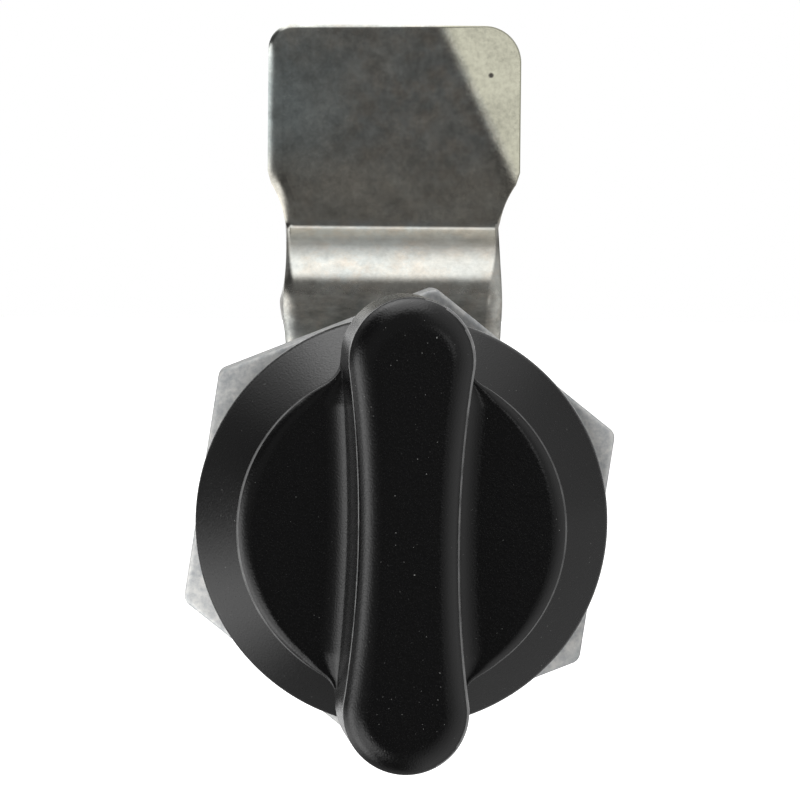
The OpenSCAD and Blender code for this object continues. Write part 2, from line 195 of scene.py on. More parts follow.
class Finishes(PropertyGroup):
    """Colours of the finishes."""

    coat: colour("Black coat", (0.0014, 0.0014, 0.0015), "Powder coat of the knob and the housing")
    dust: colour("Dust", (0.28, 0.28, 0.27), "Fine dust on the coat")
    # Rubbed coat and a painted highlight along the disc's edge
    rim_wear_and_highlight: colour("Rim wear and highlight", (0.14, 0.14, 0.14), "Coat rubbed thin along the disc's edge")
    # Rubbed coat and a painted highlight along the wing's shoulders
    ridge_wear_and_highlight: colour("Ridge wear and highlight", (0.30, 0.30, 0.30), "Coat rubbed thin along the wing's shoulders")
    rubber: colour("Rubber", (0.012, 0.012, 0.012), "Gasket and sealing ring")
    plate: colour("Zinc plate", (0.54, 0.53, 0.485), "Plate on the cam, screw and washers")
    plate_cool: colour("Cool tint", (0.515, 0.53, 0.505), "Bluish patches in the plate")
    plate_warm: colour("Warm tint", (0.55, 0.515, 0.455), "Yellowish patches in the plate")
    plate_brown: colour("Brown tint", (0.69, 0.65, 0.56), "Paler, brownish patch low on the cam's tip")
    plate_blue: colour("Blue tint", (0.62, 0.70, 0.70), "Paler, bluish patch on the left of the cam's tip")
    # Painted reflection: a cream reflection across the corner of the cam's tip, put into the colour
    painted_cream_reflection: colour("Painted cream reflection", (0.60, 0.59, 0.47), "Painted cream reflection across the corner of the cam's tip")
    cast: colour("Zinc casting", (0.82, 0.815, 0.79), "Light patches of the nut")
    cast_dark: colour("Dark casting", (0.48, 0.50, 0.515), "Dark patches of the nut")
    spring: colour("Spring steel", (0.16, 0.15, 0.14), "Retaining ring and wave washer")
    floor: colour("Floor", (0.82, 0.82, 0.82), "The floor below the latch")


class StageSettings(PropertyGroup):
    """Where the camera stands, the floor's depth and the lamp in front."""

    distance: length("Distance", 290.0 * MM, "From the camera to the point that it looks at")
    target_x: FloatProperty(
        name="Target X", description="Point that the camera looks at", default=-0.14 * MM, unit="LENGTH"
    )
    target_z: FloatProperty(
        name="Target Z", description="Height of that point", default=8.18 * MM, unit="LENGTH"
    )
    azimuth: angle("Azimuth", -2.1, "Camera's turn around the latch, to the right")
    elevation: angle("Elevation", 3.3, "Camera's height above the latch")
    roll: angle("Roll", 0.52, "Turn of the picture, clockwise")
    scale: FloatProperty(
        name="Scale", description="Pixels to the millimetre at the target", default=14.68, min=1.0
    )
    floor_drop: length("Floor drop", 45.0 * MM, "Height of the lock's axis above the floor")
    fill_side: length("Fill side", 240.0 * MM, "Side of the square lamp in front")
    fill_radiance: FloatProperty(
        name="Fill radiance", description="Radiance of the lamp in front", default=4.4, min=0.0
    )


SETTINGS = {
    "latch_knob": KnobSizes,
    "latch_housing": HousingSizes,
    "latch_nut": NutSizes,
    "latch_cam": CamSizes,
    "latch_finish": Finishes,
    "latch_stage": StageSettings,
}


# Meshes

def to_row(points):
    """Points in the lock's own frame (right, up, out to the front) as points of the row frame."""
    points = np.asarray(points, float)
    return np.stack([points[..., 0], -points[..., 2], points[..., 1]], axis=-1)


def facing(turn):
    """Directions at angles around the axis."""
    return np.stack([np.cos(turn), np.sin(turn)], axis=1)


def arc(centre, radius, start, stop, steps):
    """Points of an arc, with angles in radians."""
    return np.array(centre) + radius * facing(np.linspace(start, stop, steps + 1))


def ring(around, radius, level):
    """A ring of points along directions; radius and level are one number or one for each point."""
    radius = np.broadcast_to(radius, (len(around),))
    level = np.broadcast_to(level, (len(around),))
    return np.concatenate([around * radius[:, None], level[:, None]], 1)


def grid_faces(rows, columns, wrap_rows=False):
    """Quads over rings of points that are stored ring by ring."""
    last_row = rows if wrap_rows else rows - 1
    faces = []
    for i in range(last_row):
        for j in range(columns):
            k = (j + 1) % columns
            n = (i + 1) % rows
            faces.append((i * columns + j, i * columns + k, n * columns + k, n * columns + j))
    return faces


def new_piece(name, points, faces, sharp=30.0, marks=None):
    """A smooth mesh object, with its normals outward and its edges sharp above an angle in degrees.

    marks, where they are given, say for each face which of the piece's finishes it takes.
    """
    mesh = bpy.data.meshes.new(name)
    mesh.from_pydata([tuple(p) for p in np.asarray(points, float)], [], faces)
    if marks is not None:
        mesh.polygons.foreach_set("material_index", marks)
    piece = bpy.data.objects.new(name, mesh)
    bpy.context.scene.collection.objects.link(piece)
    tidy_mesh(mesh, math.radians(sharp))
    return piece


def tidy_mesh(mesh, sharp):
    """Joins points that coincide, turns the faces outward and marks the sharp edges."""
    bm = bmesh.new()
    bm.from_mesh(mesh)
    bmesh.ops.remove_doubles(bm, verts=bm.verts, dist=1e-7)
    bmesh.ops.dissolve_degenerate(bm, edges=bm.edges, dist=1e-8)
    bmesh.ops.recalc_face_normals(bm, faces=bm.faces)
    for face in bm.faces:
        face.smooth = True
    for edge in bm.edges:
        edge.smooth = not (len(edge.link_faces) == 2 and edge.calc_face_angle() > sharp)
    bm.to_mesh(mesh)
    bm.free()


def skin(name, rows, sharp=30.0, wrap_rows=False, caps=False, marks=None):
    """A piece over closed rings of points; the last ring joins the first, or caps close both ends."""
    rows = np.array(rows)
    count, columns = rows.shape[:2]
    faces = grid_faces(count, columns, wrap_rows)
    if caps:
        faces.append(tuple(range(columns)))
        faces.append(tuple(range((count - 1) * columns, count * columns)))
    return new_piece(name, to_row(rows).reshape(-1, 3), faces, sharp, marks)


def dress(piece, body, node, material):
    """The piece stands for a node, rides on a body and takes a finish."""
    piece.data.materials.append(material)
    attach(piece, body)
    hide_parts(node)
    return piece


def lathe(name, outline, columns, reach=None, sharp=30.0):
    """Turns a closed outline of (radius, level) points around the axis.

    reach, where it is given, is a function of radius, level and angle that returns the true radius.
    """
    turn = np.linspace(0.0, 2.0 * math.pi, columns, endpoint=False)
    outline = np.asarray(outline, float)
    radius = np.repeat(outline[:, :1], columns, axis=1)
    level = np.repeat(outline[:, 1:], columns, axis=1)
    if reach is not None:
        radius = reach(radius, level, turn[None, :])
    points = np.stack([radius * np.cos(turn), radius * np.sin(turn), level], axis=-1)
    return skin(name, points, sharp, wrap_rows=True)


def rounded(points, radii, steps=4):
    """A closed outline with its corners rounded by tangent arcs."""
    points = np.asarray(points, float)
    count = len(points)
    out = []
    for i, radius in enumerate(radii):
        corner = points[i]
        if radius <= 0:
            out.append(corner)
            continue
        before = points[i - 1] - corner
        after = points[(i + 1) % count] - corner
        before = before / np.linalg.norm(before)
        after = after / np.linalg.norm(after)
        half = 0.5 * math.acos(float(np.clip(before @ after, -1.0, 1.0)))
        run = radius / math.tan(half)
        middle = before + after
        centre = corner + middle / np.linalg.norm(middle) * radius / math.sin(half)
        first = corner + before * run - centre
        last = corner + after * run - centre
        for t in np.linspace(0.0, 1.0, steps + 1):
            ray = first * (1.0 - t) + last * t
            out.append(centre + ray / np.linalg.norm(ray) * radius)
    return np.array(out)


def ring_section(outer, inner, back, front, radii, steps=4):
    """Section of a flat ring, with the radii of its corners in millimetres, from the outer front one on."""
    corners = [(outer, front), (outer, back), (inner, back), (inner, front)]
    return rounded(corners, [radius * MM for radius in radii], steps)


# Wing knob

# Finishes of the knob: plain coat, and two that are rubbed coat with a painted highlight
COAT, RIM_WEAR_AND_HIGHLIGHT, RIDGE_WEAR_AND_HIGHLIGHT = range(3)
# How many bands each part of the knob's section has
CROWN_BANDS, EDGE_BANDS, WALL_BANDS, HOLLOW_BANDS, FLOOR_BANDS, RIM_BANDS = 16, 4, 6, 12, 7, 12
# How many of them take rubbed coat with a painted highlight: on the disc's edge, and on the right and left of
# the wing's crown
RIM_WEAR_AND_HIGHLIGHT_BANDS, RIGHT_WEAR_AND_HIGHLIGHT_BANDS, LEFT_WEAR_AND_HIGHLIGHT_BANDS = 3, 3, 0
# Room beside the wing under which the disc sinks into the wing's wall
DISC_SINK = 0.15 * MM
FOOT_BEVEL = 0.05 * MM


class WingOutline:
    """One half of the wing from the front: end circles, and a long hollow side that touches them."""

    def __init__(self, sizes, side_draft, rubbed):
        self.rubbed = rubbed
        self.end_r = sizes.end_width / 2
        self.end_y = sizes.wing_length / 2 - self.end_r
        waist = sizes.waist / 2
        self.side_r = (waist**2 + self.end_y**2 - self.end_r**2) / (2 * (self.end_r - waist))
        self.side_x = waist + self.side_r
        self.side_a = math.atan2(self.end_y, self.side_x)
        self.disc_r = sizes.disc / 2
        self.corner_r = sizes.corner
        self.shoulder = KNOB_FRONT - sizes.crown_height
        self.draft = sizes.draft
        self.side_draft = side_draft
        foot = self.end_r + self.slope_at(KNOB_BACK, (self.end_r, self.end_y), (1.0, 0.0)) + self.corner_r
        far = self.disc_r + self.corner_r
        y = (far**2 - foot**2 + self.end_y**2) / (2 * self.end_y)
        self.corner_c = np.array([math.sqrt(far**2 - y**2), y])

    def slope_at(self, level, p, d):
        """Outward shift of the wing's wall at a level below its shoulder, at a point where it faces d."""
        along_side = d[0] ** 8 * (1.0 - (p[1] / self.end_y) ** 4)
        lean = self.draft + (self.side_draft - self.draft) * max(0.0, along_side)
        return (self.shoulder - level) * math.tan(lean)

    def stations(self, end_steps, side_steps):
        """Points and outward directions over a quarter of the outline, from the tip to the waist."""
        a = math.pi / 2 - (math.pi / 2 + self.side_a) * np.linspace(0, 1, end_steps + 1)
        end_d = facing(a)
        end_p = np.array([0, self.end_y]) + self.end_r * end_d
        b = self.side_a * (1 - np.linspace(0, 1, side_steps + 1)[1:])
        side_d = facing(-b)
        side_p = np.array([self.side_x, 0]) - self.side_r * side_d
        return np.concatenate([end_p, side_p]), np.concatenate([end_d, side_d])

    def foot_distance(self, p, d):
        """Distance along a direction from the shoulder line to the knob's foot outline."""
        inside = self.disc_r**2 - p @ p
        along = p @ d
        to_disc = math.sqrt(along**2 + inside) - along if inside > 0 else 0.0
        m = p - self.corner_c
        along = m @ d
        root = along**2 - m @ m + self.corner_r**2
        to_corner = 0.0
        if root > 0:
            t = -along - math.sqrt(root)
            hit = p + t * d
            c = self.corner_c
            end = np.array([0, self.end_y])
            beside_disc = c[0] * hit[1] - c[1] * hit[0] >= 0
            arm, ray = c - end, hit - end
            beside_end = arm[0] * ray[1] - arm[1] * ray[0] <= 0
            if t > 0 and beside_disc and beside_end:
                to_corner = t
        return max(to_disc, to_corner, self.slope_at(KNOB_BACK, p, d))


def knob_section(sizes, outline, p, d):
    """Section of the knob at one station: distances out from the shoulder line, and levels.

    Also gives for each point the finish of the band that starts there.
    """
    far = outline.foot_distance(p, d)
    spare = min(1.0, (far - outline.slope_at(KNOB_BACK, p, d)) / DISC_SINK)
    disc_z = KNOB_BACK + sizes.disc_height * spare**2 * (3 - 2 * spare)
    room = far - outline.slope_at(disc_z, p, d)
    root = sizes.root * min(1.0, room / sizes.root_room)
    brow = sizes.disc_edge * min(1.0, room / (sizes.root + sizes.disc_edge))
    reach = (p[1] / (sizes.wing_length / 2)) ** 2
    crown = sizes.crown_waist + (sizes.crown_end - sizes.crown_waist) * reach
    root_r = root / math.sin(sizes.root_slope)
    wall_z = disc_z + root_r * (1 - math.cos(sizes.root_slope))
    wall = outline.slope_at(wall_z, p, d)

    rise = np.linspace(0.0, sizes.crown_slope, CROWN_BANDS + 1)
    lean = sizes.crown_slope
    top = np.stack(
        [
            -crown * (1 - np.sin(rise) / math.sin(lean)),
            outline.shoulder + sizes.crown_height * (np.cos(rise) - math.cos(lean)) / (1 - math.cos(lean)),
        ],
        axis=1,
    )
    shoulder = np.array([0.0, outline.shoulder])
    before = top[-1] - (top[-1] - top[-2]) / np.linalg.norm(top[-1] - top[-2]) * sizes.edge
    after_z = outline.shoulder - sizes.edge
    after = np.array([outline.slope_at(after_z, p, d), after_z])
    bend = np.linspace(0.0, 1.0, EDGE_BANDS + 1)[:, None]
    edge = before * (1 - bend) ** 2 + shoulder * 2 * bend * (1 - bend) + after * bend**2
    top = top[top[:, 0] < before[0] - 1e-6]
    levels = np.linspace(after_z, wall_z, WALL_BANDS + 1)[1:-1]
    side = np.stack([outline.slope_at(levels, p, d), levels], 1)
    turn = np.linspace(sizes.root_slope, 0.0, HOLLOW_BANDS + 1)
    hollow = np.stack([wall + root - root_r * np.sin(turn), disc_z + root_r * (1 - np.cos(turn))], 1)
    across = np.linspace(wall + root, far - brow, FLOOR_BANDS + 1)[1:-1]
    floor = np.stack([across, np.full(len(across), disc_z)], 1)
    fall = np.linspace(0.0, sizes.disc_slope, RIM_BANDS + 1)
    brow_r = brow / math.sin(sizes.disc_slope)
    rim = np.stack([far - brow + brow_r * np.sin(fall), disc_z - brow_r * (1 - np.cos(fall))], 1)
    wall_height = rim[-1, 1] - KNOB_BACK
    foot = np.array(
        [
            (far, KNOB_BACK + 0.95 * wall_height),
            (far, KNOB_BACK + 0.05 * wall_height),
            (far - FOOT_BEVEL, KNOB_BACK),
        ]
    )
    parts = [top, edge, side, hollow, floor, rim, foot]
    wear_and_highlight = [np.full(len(part), COAT) for part in parts]
    on_top, on_edge, _, _, _, on_rim, _ = wear_and_highlight
    # The shoulder's finish, rubbed coat with a painted highlight, on the last bands of the crown and on the
    # shoulder's edge
    on_top[len(top) - round(outline.rubbed * max(0.0, d[0])) :] = RIDGE_WEAR_AND_HIGHLIGHT
    on_edge[1:-1] = RIDGE_WEAR_AND_HIGHLIGHT
    # The disc's edge: rubbed coat with a painted highlight on its last bands
    on_rim[-RIM_WEAR_AND_HIGHLIGHT_BANDS:] = RIM_WEAR_AND_HIGHLIGHT
    return np.concatenate(parts), np.concatenate(wear_and_highlight)


def wing_quarter(sizes, side_draft, rubbed):
    """Columns of points from the spine of the wing's top down to the knob's foot, from the tip to the waist.

    Also gives for each point the finish of the face that starts there.
    rubbed is how many bands of the crown above the shoulder take the shoulder's finish along the side: rubbed
    coat with a painted highlight.
    """
    outline = WingOutline(sizes, side_draft, rubbed)
    columns, marks = [], []
    for p, d in zip(*outline.stations(56, 64)):
        section, wear_and_highlight = knob_section(sizes, outline, p, d)
        column = np.concatenate([p + section[:, :1] * d, section[:, 1:]], axis=1)
        spine = np.array([0.0, min(max(p[1], 0.0), outline.end_y), KNOB_FRONT])
        inner = [spine + (column[0] - spine) * s for s in (0.0, 0.35, 0.7)]
        columns.append(np.concatenate([np.array(inner), column]))
        marks.append([COAT] * len(inner) + list(wear_and_highlight) + [COAT] * 3)
    return np.array(columns), np.array(marks)


def wing_knob_rows(sizes):
    """Closed rings of points over the knob, from the spine of its top down to its socket.

    Also gives for each point the finish of the face that starts there.
    """
    right, right_wear_and_highlight = wing_quarter(sizes, sizes.right_draft, RIGHT_WEAR_AND_HIGHLIGHT_BANDS)
    left, left_wear_and_highlight = wing_quarter(sizes, sizes.left_draft, LEFT_WEAR_AND_HIGHLIGHT_BANDS)
    loop = np.concatenate(
        [
            right[:-1],
            (right * (1, -1, 1))[::-1][:-1],
            (left * (-1, -1, 1))[:-1],
            (left * (-1, 1, 1))[::-1][:-1],
        ]
    )
    loop[..., 0] += math.tan(sizes.lean) * (loop[..., 2] - KNOB_BACK - sizes.tang_height)
    c, s = math.cos(sizes.play), math.sin(sizes.play)
    loop[..., :2] = loop[..., :2] @ np.array([[c, -s], [s, c]])
    rows = list(np.swapaxes(loop, 0, 1))
    foot = rows[-1]
    around = foot[:, :2] / np.linalg.norm(foot[:, :2], axis=1, keepdims=True)
    half = np.array([sizes.tang_width, sizes.tang_length]) / 2
    mouth = ring(around, np.min(half / np.maximum(np.abs(around), 1e-9), axis=1), KNOB_BACK)
    roof = mouth + np.array([0.0, 0.0, sizes.tang_height])
    centre = roof * np.array([0.0, 0.0, 1.0])
    wear_and_highlight = [right_wear_and_highlight[:-1], right_wear_and_highlight[:0:-1], left_wear_and_highlight[:-1], left_wear_and_highlight[:0:-1]]
    return np.array(rows + [mouth, roof, centre]), np.concatenate(wear_and_highlight).T


class LATCH_OT_wing_knob(Operator):
    """Builds the black knob: a disc with a waisted wing that overhangs the head at both ends"""

    bl_idname = "latch.wing_knob"
    bl_label = "Wing knob"

    def execute(self, context):
        rows, wear_and_highlight = wing_knob_rows(context.scene.latch_knob)
        colours = context.scene.latch_finish
        piece = skin("knob_wing", rows, 50.0, marks=wear_and_highlight[:-1].ravel())
        dress(piece, TURNING_BODY, "wing_knob", black_coat(colours))
        # Rubbed coat with painted highlights on the disc's edge and the wing's shoulders
        piece.data.materials.append(rim_wear_and_highlight(colours))
        piece.data.materials.append(ridge_wear_and_highlight(colours))
        return {"FINISHED"}


# Housing and gasket

# Play between the barrel and what sits on it
SLACK = 0.05 * MM


def thread_wave(phase, crest=0.2, flank=0.36):
    """Depth of a thread's groove, from 0 at the crest to 1 at its root, over one turn of phase."""
    ramp = np.abs((phase % 1.0) - 0.5) * 2.0
    depth = 1.0 - (ramp - crest) / (1.0 - crest - flank * 0.4)
    return np.clip(depth, 0.0, 1.0)


def barrel_reach(sizes):
    """Cuts the thread and the two flats into the barrel's outside."""
    outer = sizes.thread / 2
    flat = sizes.flats / 2
    run_out, clear, run_in = 1.2 * MM, 0.3 * MM, 0.6 * MM
    share_at_end = 0.6

    def reach(radius, level, turn):
        on_barrel = (level < GASKET_BACK + 0.5 * GASKET_FRONT) & (radius > sizes.bore / 2 + 1.0 * MM)
        fade_back = np.clip((level - BARREL_BACK) / run_out, 0.0, 1.0)
        fade_front = np.clip((GASKET_BACK - clear - level) / run_in, 0.0, 1.0)
        groove = thread_wave(level / sizes.pitch - turn / (2 * math.pi))
        depth = sizes.thread_depth * groove * np.minimum(fade_front, fade_back + share_at_end)
        threaded = np.minimum(radius, outer - depth)
        flats = flat / np.maximum(np.abs(np.cos(turn)), 1e-6)
        cut = np.minimum(threaded, np.broadcast_to(flats, threaded.shape))
        return np.where(on_barrel, cut, radius)

    return reach


def housing_outline(sizes, disc):
    """Closed half section of the housing, from the bore's mouth round to the back hole."""
    head_r = sizes.head / 2
    top_r = disc / 2 - sizes.tuck
    rim_z = GASKET_FRONT + sizes.rim_height
    bore_r = sizes.bore / 2
    hole_r = sizes.back_hole / 2
    barrel_r = sizes.thread / 2
    ledge_z = BARREL_BACK + sizes.back_wall
    bevel, lip = 0.8 * MM, 0.1 * MM
    hole_bevel = 0.2 * MM
    corners = [
        ((bore_r, HEAD_FRONT), 0.2 * MM),
        ((top_r, HEAD_FRONT), 0.08 * MM),
        ((head_r, rim_z), sizes.rim_round),
        ((head_r, GASKET_FRONT), 0.3 * MM),
        ((barrel_r, GASKET_FRONT), 0.0),
        ((bore_r, GASKET_FRONT), 0.0),
    ]
    front = rounded([place for place, _ in corners], [radius for _, radius in corners], 8)[:-1]
    rows = np.arange(GASKET_FRONT - 0.02 * MM, BARREL_BACK + bevel, -sizes.pitch / 14)
    barrel = np.stack([np.full(len(rows), barrel_r), rows], 1)
    tail = np.array(
        [
            (barrel_r - lip, BARREL_BACK + bevel - lip),
            (barrel_r - bevel, BARREL_BACK),
            (hole_r + hole_bevel, BARREL_BACK),
            (hole_r, BARREL_BACK + hole_bevel),
            (hole_r, ledge_z),
            (bore_r, ledge_z),
        ]
    )
    return np.concatenate([front, barrel, tail])


class LATCH_OT_housing(Operator):
    """Builds the housing: the cone-edged head and the threaded barrel with its two flats"""

    bl_idname = "latch.housing"
    bl_label = "Housing"

    def execute(self, context):
        sizes = context.scene.latch_housing
        outline = housing_outline(sizes, context.scene.latch_knob.disc)
        piece = lathe("housing_shell", outline, 240, barrel_reach(sizes), sharp=38.0)
        dress(piece, FIXED_BODY, "housing", black_coat(context.scene.latch_finish))
        return {"FINISHED"}


class LATCH_OT_gasket(Operator):
    """Builds the flat gasket under the head, with its rounded edge"""

    bl_idname = "latch.gasket"
    bl_label = "Gasket"

    def execute(self, context):
        outer = width_of("head_gasket") / 2
        inner = context.scene.latch_housing.thread / 2 + SLACK
        section = ring_section(outer, inner, GASKET_BACK, GASKET_FRONT, (0.35, 0.35, 0.1, 0.1), 5)
        piece = lathe("gasket_ring", section, 160)
        dress(piece, FIXED_BODY, "head_gasket", rubber(context.scene.latch_finish))
        return {"FINISHED"}


# Nut

def hex_columns(flats, corner, turn, flat_steps=14, corner_steps=8):
    """Outline of a hexagon with rounded corners, as points around the axis."""
    to_corner = flats / math.sqrt(3) - corner / math.cos(math.pi / 6)
    loop = []
    for k in range(6):
        a = math.pi / 2 - turn + k * math.pi / 3
        centre = (to_corner * math.cos(a), to_corner * math.sin(a))
        loop.extend(arc(centre, corner, a - math.pi / 6, a + math.pi / 6, corner_steps))
        b = a + math.pi / 3
        start = loop[-1]
        stop = np.array([to_corner * math.cos(b), to_corner * math.sin(b)])
        stop = stop + corner * np.array([math.cos(b - math.pi / 6), math.sin(b - math.pi / 6)])
        loop.extend(start + (stop - start) * s for s in np.linspace(0, 1, flat_steps)[1:-1])
    return np.array(loop)


class LATCH_OT_nut(Operator):
    """Builds the fixing nut, with rounded corners and its thread"""

    bl_idname = "latch.nut"
    bl_label = "Fixing nut"

    def execute(self, context):
        sizes = context.scene.latch_nut
        housing = context.scene.latch_housing
        loop = hex_columns(sizes.flats, sizes.corner, sizes.turn)
        turn = np.arctan2(loop[:, 1], loop[:, 0])
        around = facing(turn)
        depth, bevel, margin = 0.35 * MM, 0.5 * MM, 0.45 * MM
        rows = []
        quarter = np.linspace(0.0, math.pi / 2, 6)
        for level, side in ((NUT_FRONT, -1.0), (NUT_BACK, 1.0)):
            steps = quarter[::-1] if side < 0 else quarter
            for q in steps:
                inset = sizes.edge * (1 - math.cos(q))
                z = level + side * sizes.edge * (1 - math.sin(q))
                rows.append(ring(loop, 1 - inset / (sizes.flats / 2), z))
        crest = housing.thread / 2 + SLACK
        rows.append(ring(around, crest + bevel, NUT_BACK))
        for z in np.arange(NUT_BACK + margin, NUT_FRONT - margin, housing.pitch / 10):
            wave = thread_wave(z / housing.pitch - turn / (2 * math.pi) + 0.5)
            rows.append(ring(around, crest + depth * wave, z))
        rows.append(ring(around, crest + bevel, NUT_FRONT))
        piece = skin("nut_hex", rows, 35.0, wrap_rows=True)
        dress(piece, FIXED_BODY, "fixing_nut", zinc_cast(context.scene.latch_finish))
        return {"FINISHED"}


# Cam

class CamPlate:
    """The cam's plate: its outline from the front, and how it bends along its length."""

    # Along the plate: where the swelling peaks past the first bend, and how far each effect spreads
    SWELL_AT, SWELL_SPREAD = 0.2 * MM, 1.9 * MM
    ROOT_SPREAD, CRANK_SPREAD, PAST_CRANK = 2.2 * MM, 2.6 * MM, 3.0 * MM
    TOP_SPREAD, TOP_START = 2.5 * MM, 1.4
    # Shares by which the rolled edge is narrower on the crank and at the left of the top
    CRANK_CUT, TOP_CUT = 0.7, 0.5

    def __init__(self, sizes):
        self.s = sizes
        a = sizes.crank_angle
        inner, outer = sizes.bend, sizes.bend + sizes.thickness
        middle = (inner + outer) / 2
        drop = (inner + outer) * (1 - math.cos(a))
        slope = (sizes.crank - drop) / math.sin(a)
        first = sizes.crank_start
        second = first + middle * math.sin(a)
        third = second + slope * math.cos(a)
        fourth = third + middle * math.sin(a)
        self.first = first
        self.middle = (second + fourth) / 2
        self.heights = np.linspace(first, fourth, 241)
        in_first = np.arcsin(np.clip((self.heights - first) / middle, 0, math.sin(a)))
        in_second = np.arcsin(np.clip((fourth - self.heights) / middle, 0, math.sin(a)))
        along = np.clip((self.heights - second) / (third - second), 0.0, 1.0)
        # The crank gets a little steeper towards the tip
        fall = np.tan(np.minimum(in_first, in_second)) * (0.88 + 0.40 * along**1.5)
        step = self.heights[1] - self.heights[0]
        levels = np.concatenate([[0.0], np.cumsum((fall[1:] + fall[:-1]) / 2 * step)])
        fit = sizes.crank / levels[-1]
        self.levels = -levels * fit
        self.leans = np.arctan(fall * fit)

    def half_outline(self, corner_r, wider=0.0):
        """Right half of the outline, from the root's lowest point up to the tip."""
        s = self.s
        neck, tip = s.neck_width / 2, s.tip_width / 2 + wider
        foot = s.reach - s.tip_length
        step = tip - neck
        hollow_r = (step**2 + s.shoulder**2) / (2 * step)
        hollow_a = math.asin(s.shoulder / hollow_r)
        hole = s.hole / 2
        root_a = math.asin(hole / neck)
        # The steps are finer from a little below the crank on
        fine = self.first - 4.0 * MM
        rise = np.concatenate([np.linspace(hole, fine, 9), np.linspace(fine, foot - s.shoulder, 60)[1:-1]])
        tip_rise = np.linspace(foot + 0.5 * MM, s.reach - corner_r, 9)[:-1]
        return np.concatenate(
            [
                arc((0, 0), neck, -math.pi / 2, -root_a, 14),
                arc((0, 0), neck, -root_a, 0, 8)[1:],
                np.stack([np.full(len(rise), neck), rise], 1),
                arc((neck + hollow_r, foot - s.shoulder), hollow_r, math.pi, math.pi - hollow_a * 0.9, 16),
                np.stack([np.full(len(tip_rise), tip), tip_rise], 1),
                arc((tip - corner_r, s.reach - corner_r), corner_r, 0, math.pi / 2, 16),
            ]
        )

    def beside_bend(self, y):
        """How close a height is to the first bend, from 0 to 1."""
        return math.exp(-(((y - self.first - self.SWELL_AT) / self.SWELL_SPREAD) ** 2))

    def edge(self, p, right):
        """Width of the rolled edge at a point of the outline."""
        s = self.s
        width = s.edge + (s.root_edge - s.edge) * self.near_root(p[1])
        if right:
            past_crank = np.clip((p[1] - self.middle) / self.PAST_CRANK, 0.0, 1.0)
            width += (s.right_edge - width) * past_crank
        else:
            width *= 1.0 - self.TOP_CUT * self.near_top(p[1])
        on_crank = math.exp(-(((p[1] - self.middle) / self.CRANK_SPREAD) ** 2))
        return width * (1.0 - self.CRANK_CUT * on_crank)

    def edge_slope(self, y):
        """Slope at which the front meets the sheared edge at a height."""
        steeper = self.s.root_slope - self.s.edge_slope
        return self.s.edge_slope + steeper * (self.near_root(y) + self.near_top(y))

    def near_root(self, y):
        """How much of the root's wider edge there is at a height."""
        return math.exp(-((max(0.0, y - self.first) / self.ROOT_SPREAD) ** 2))

    def near_top(self, y):
        """How close a height is to the tip's top edge, from 0 to 1."""
        share = np.clip((y - self.s.reach) / self.TOP_SPREAD + self.TOP_START, 0.0, 1.0)
        return share**2 * (3 - 2 * share)

    def place(self, x, y, h):
        """Bends a point of the flat plate; h is its height above the plate's middle."""
        s = self.s
        level = float(np.interp(y, self.heights, self.levels))
        lean = float(np.interp(y, self.heights, self.leans, 0.0, 0.0))
        back = 0.5 - h / s.thickness
        side = min(1.0, abs(x) / (s.neck_width / 2)) ** 3
        grow = s.swell * self.beside_bend(y) * (0.25 + 0.75 * back) * side * (1.0 if x < 0 else 0.45)
        root_level = CAM_FRONT - s.thickness / 2
        return x + math.copysign(grow, x), y + h * math.sin(lean), root_level + level + h * math.cos(lean)


def outline_normals(half):
    """Outward directions along the right half of an outline that ends level at both ends."""
    before = np.concatenate([half[:1] - np.array([[1.0, 0.0]]), half[:-1]])
    after = np.concatenate([half[1:], half[-1:] - np.array([[1.0, 0.0]])])
    along = np.zeros(half.shape)
    for step in (half - before, after - half):
        along += step / np.maximum(np.linalg.norm(step, axis=1, keepdims=True), 1e-12)
    along = along / np.linalg.norm(along, axis=1, keepdims=True)
    return np.stack([along[:, 1], -along[:, 0]], 1)


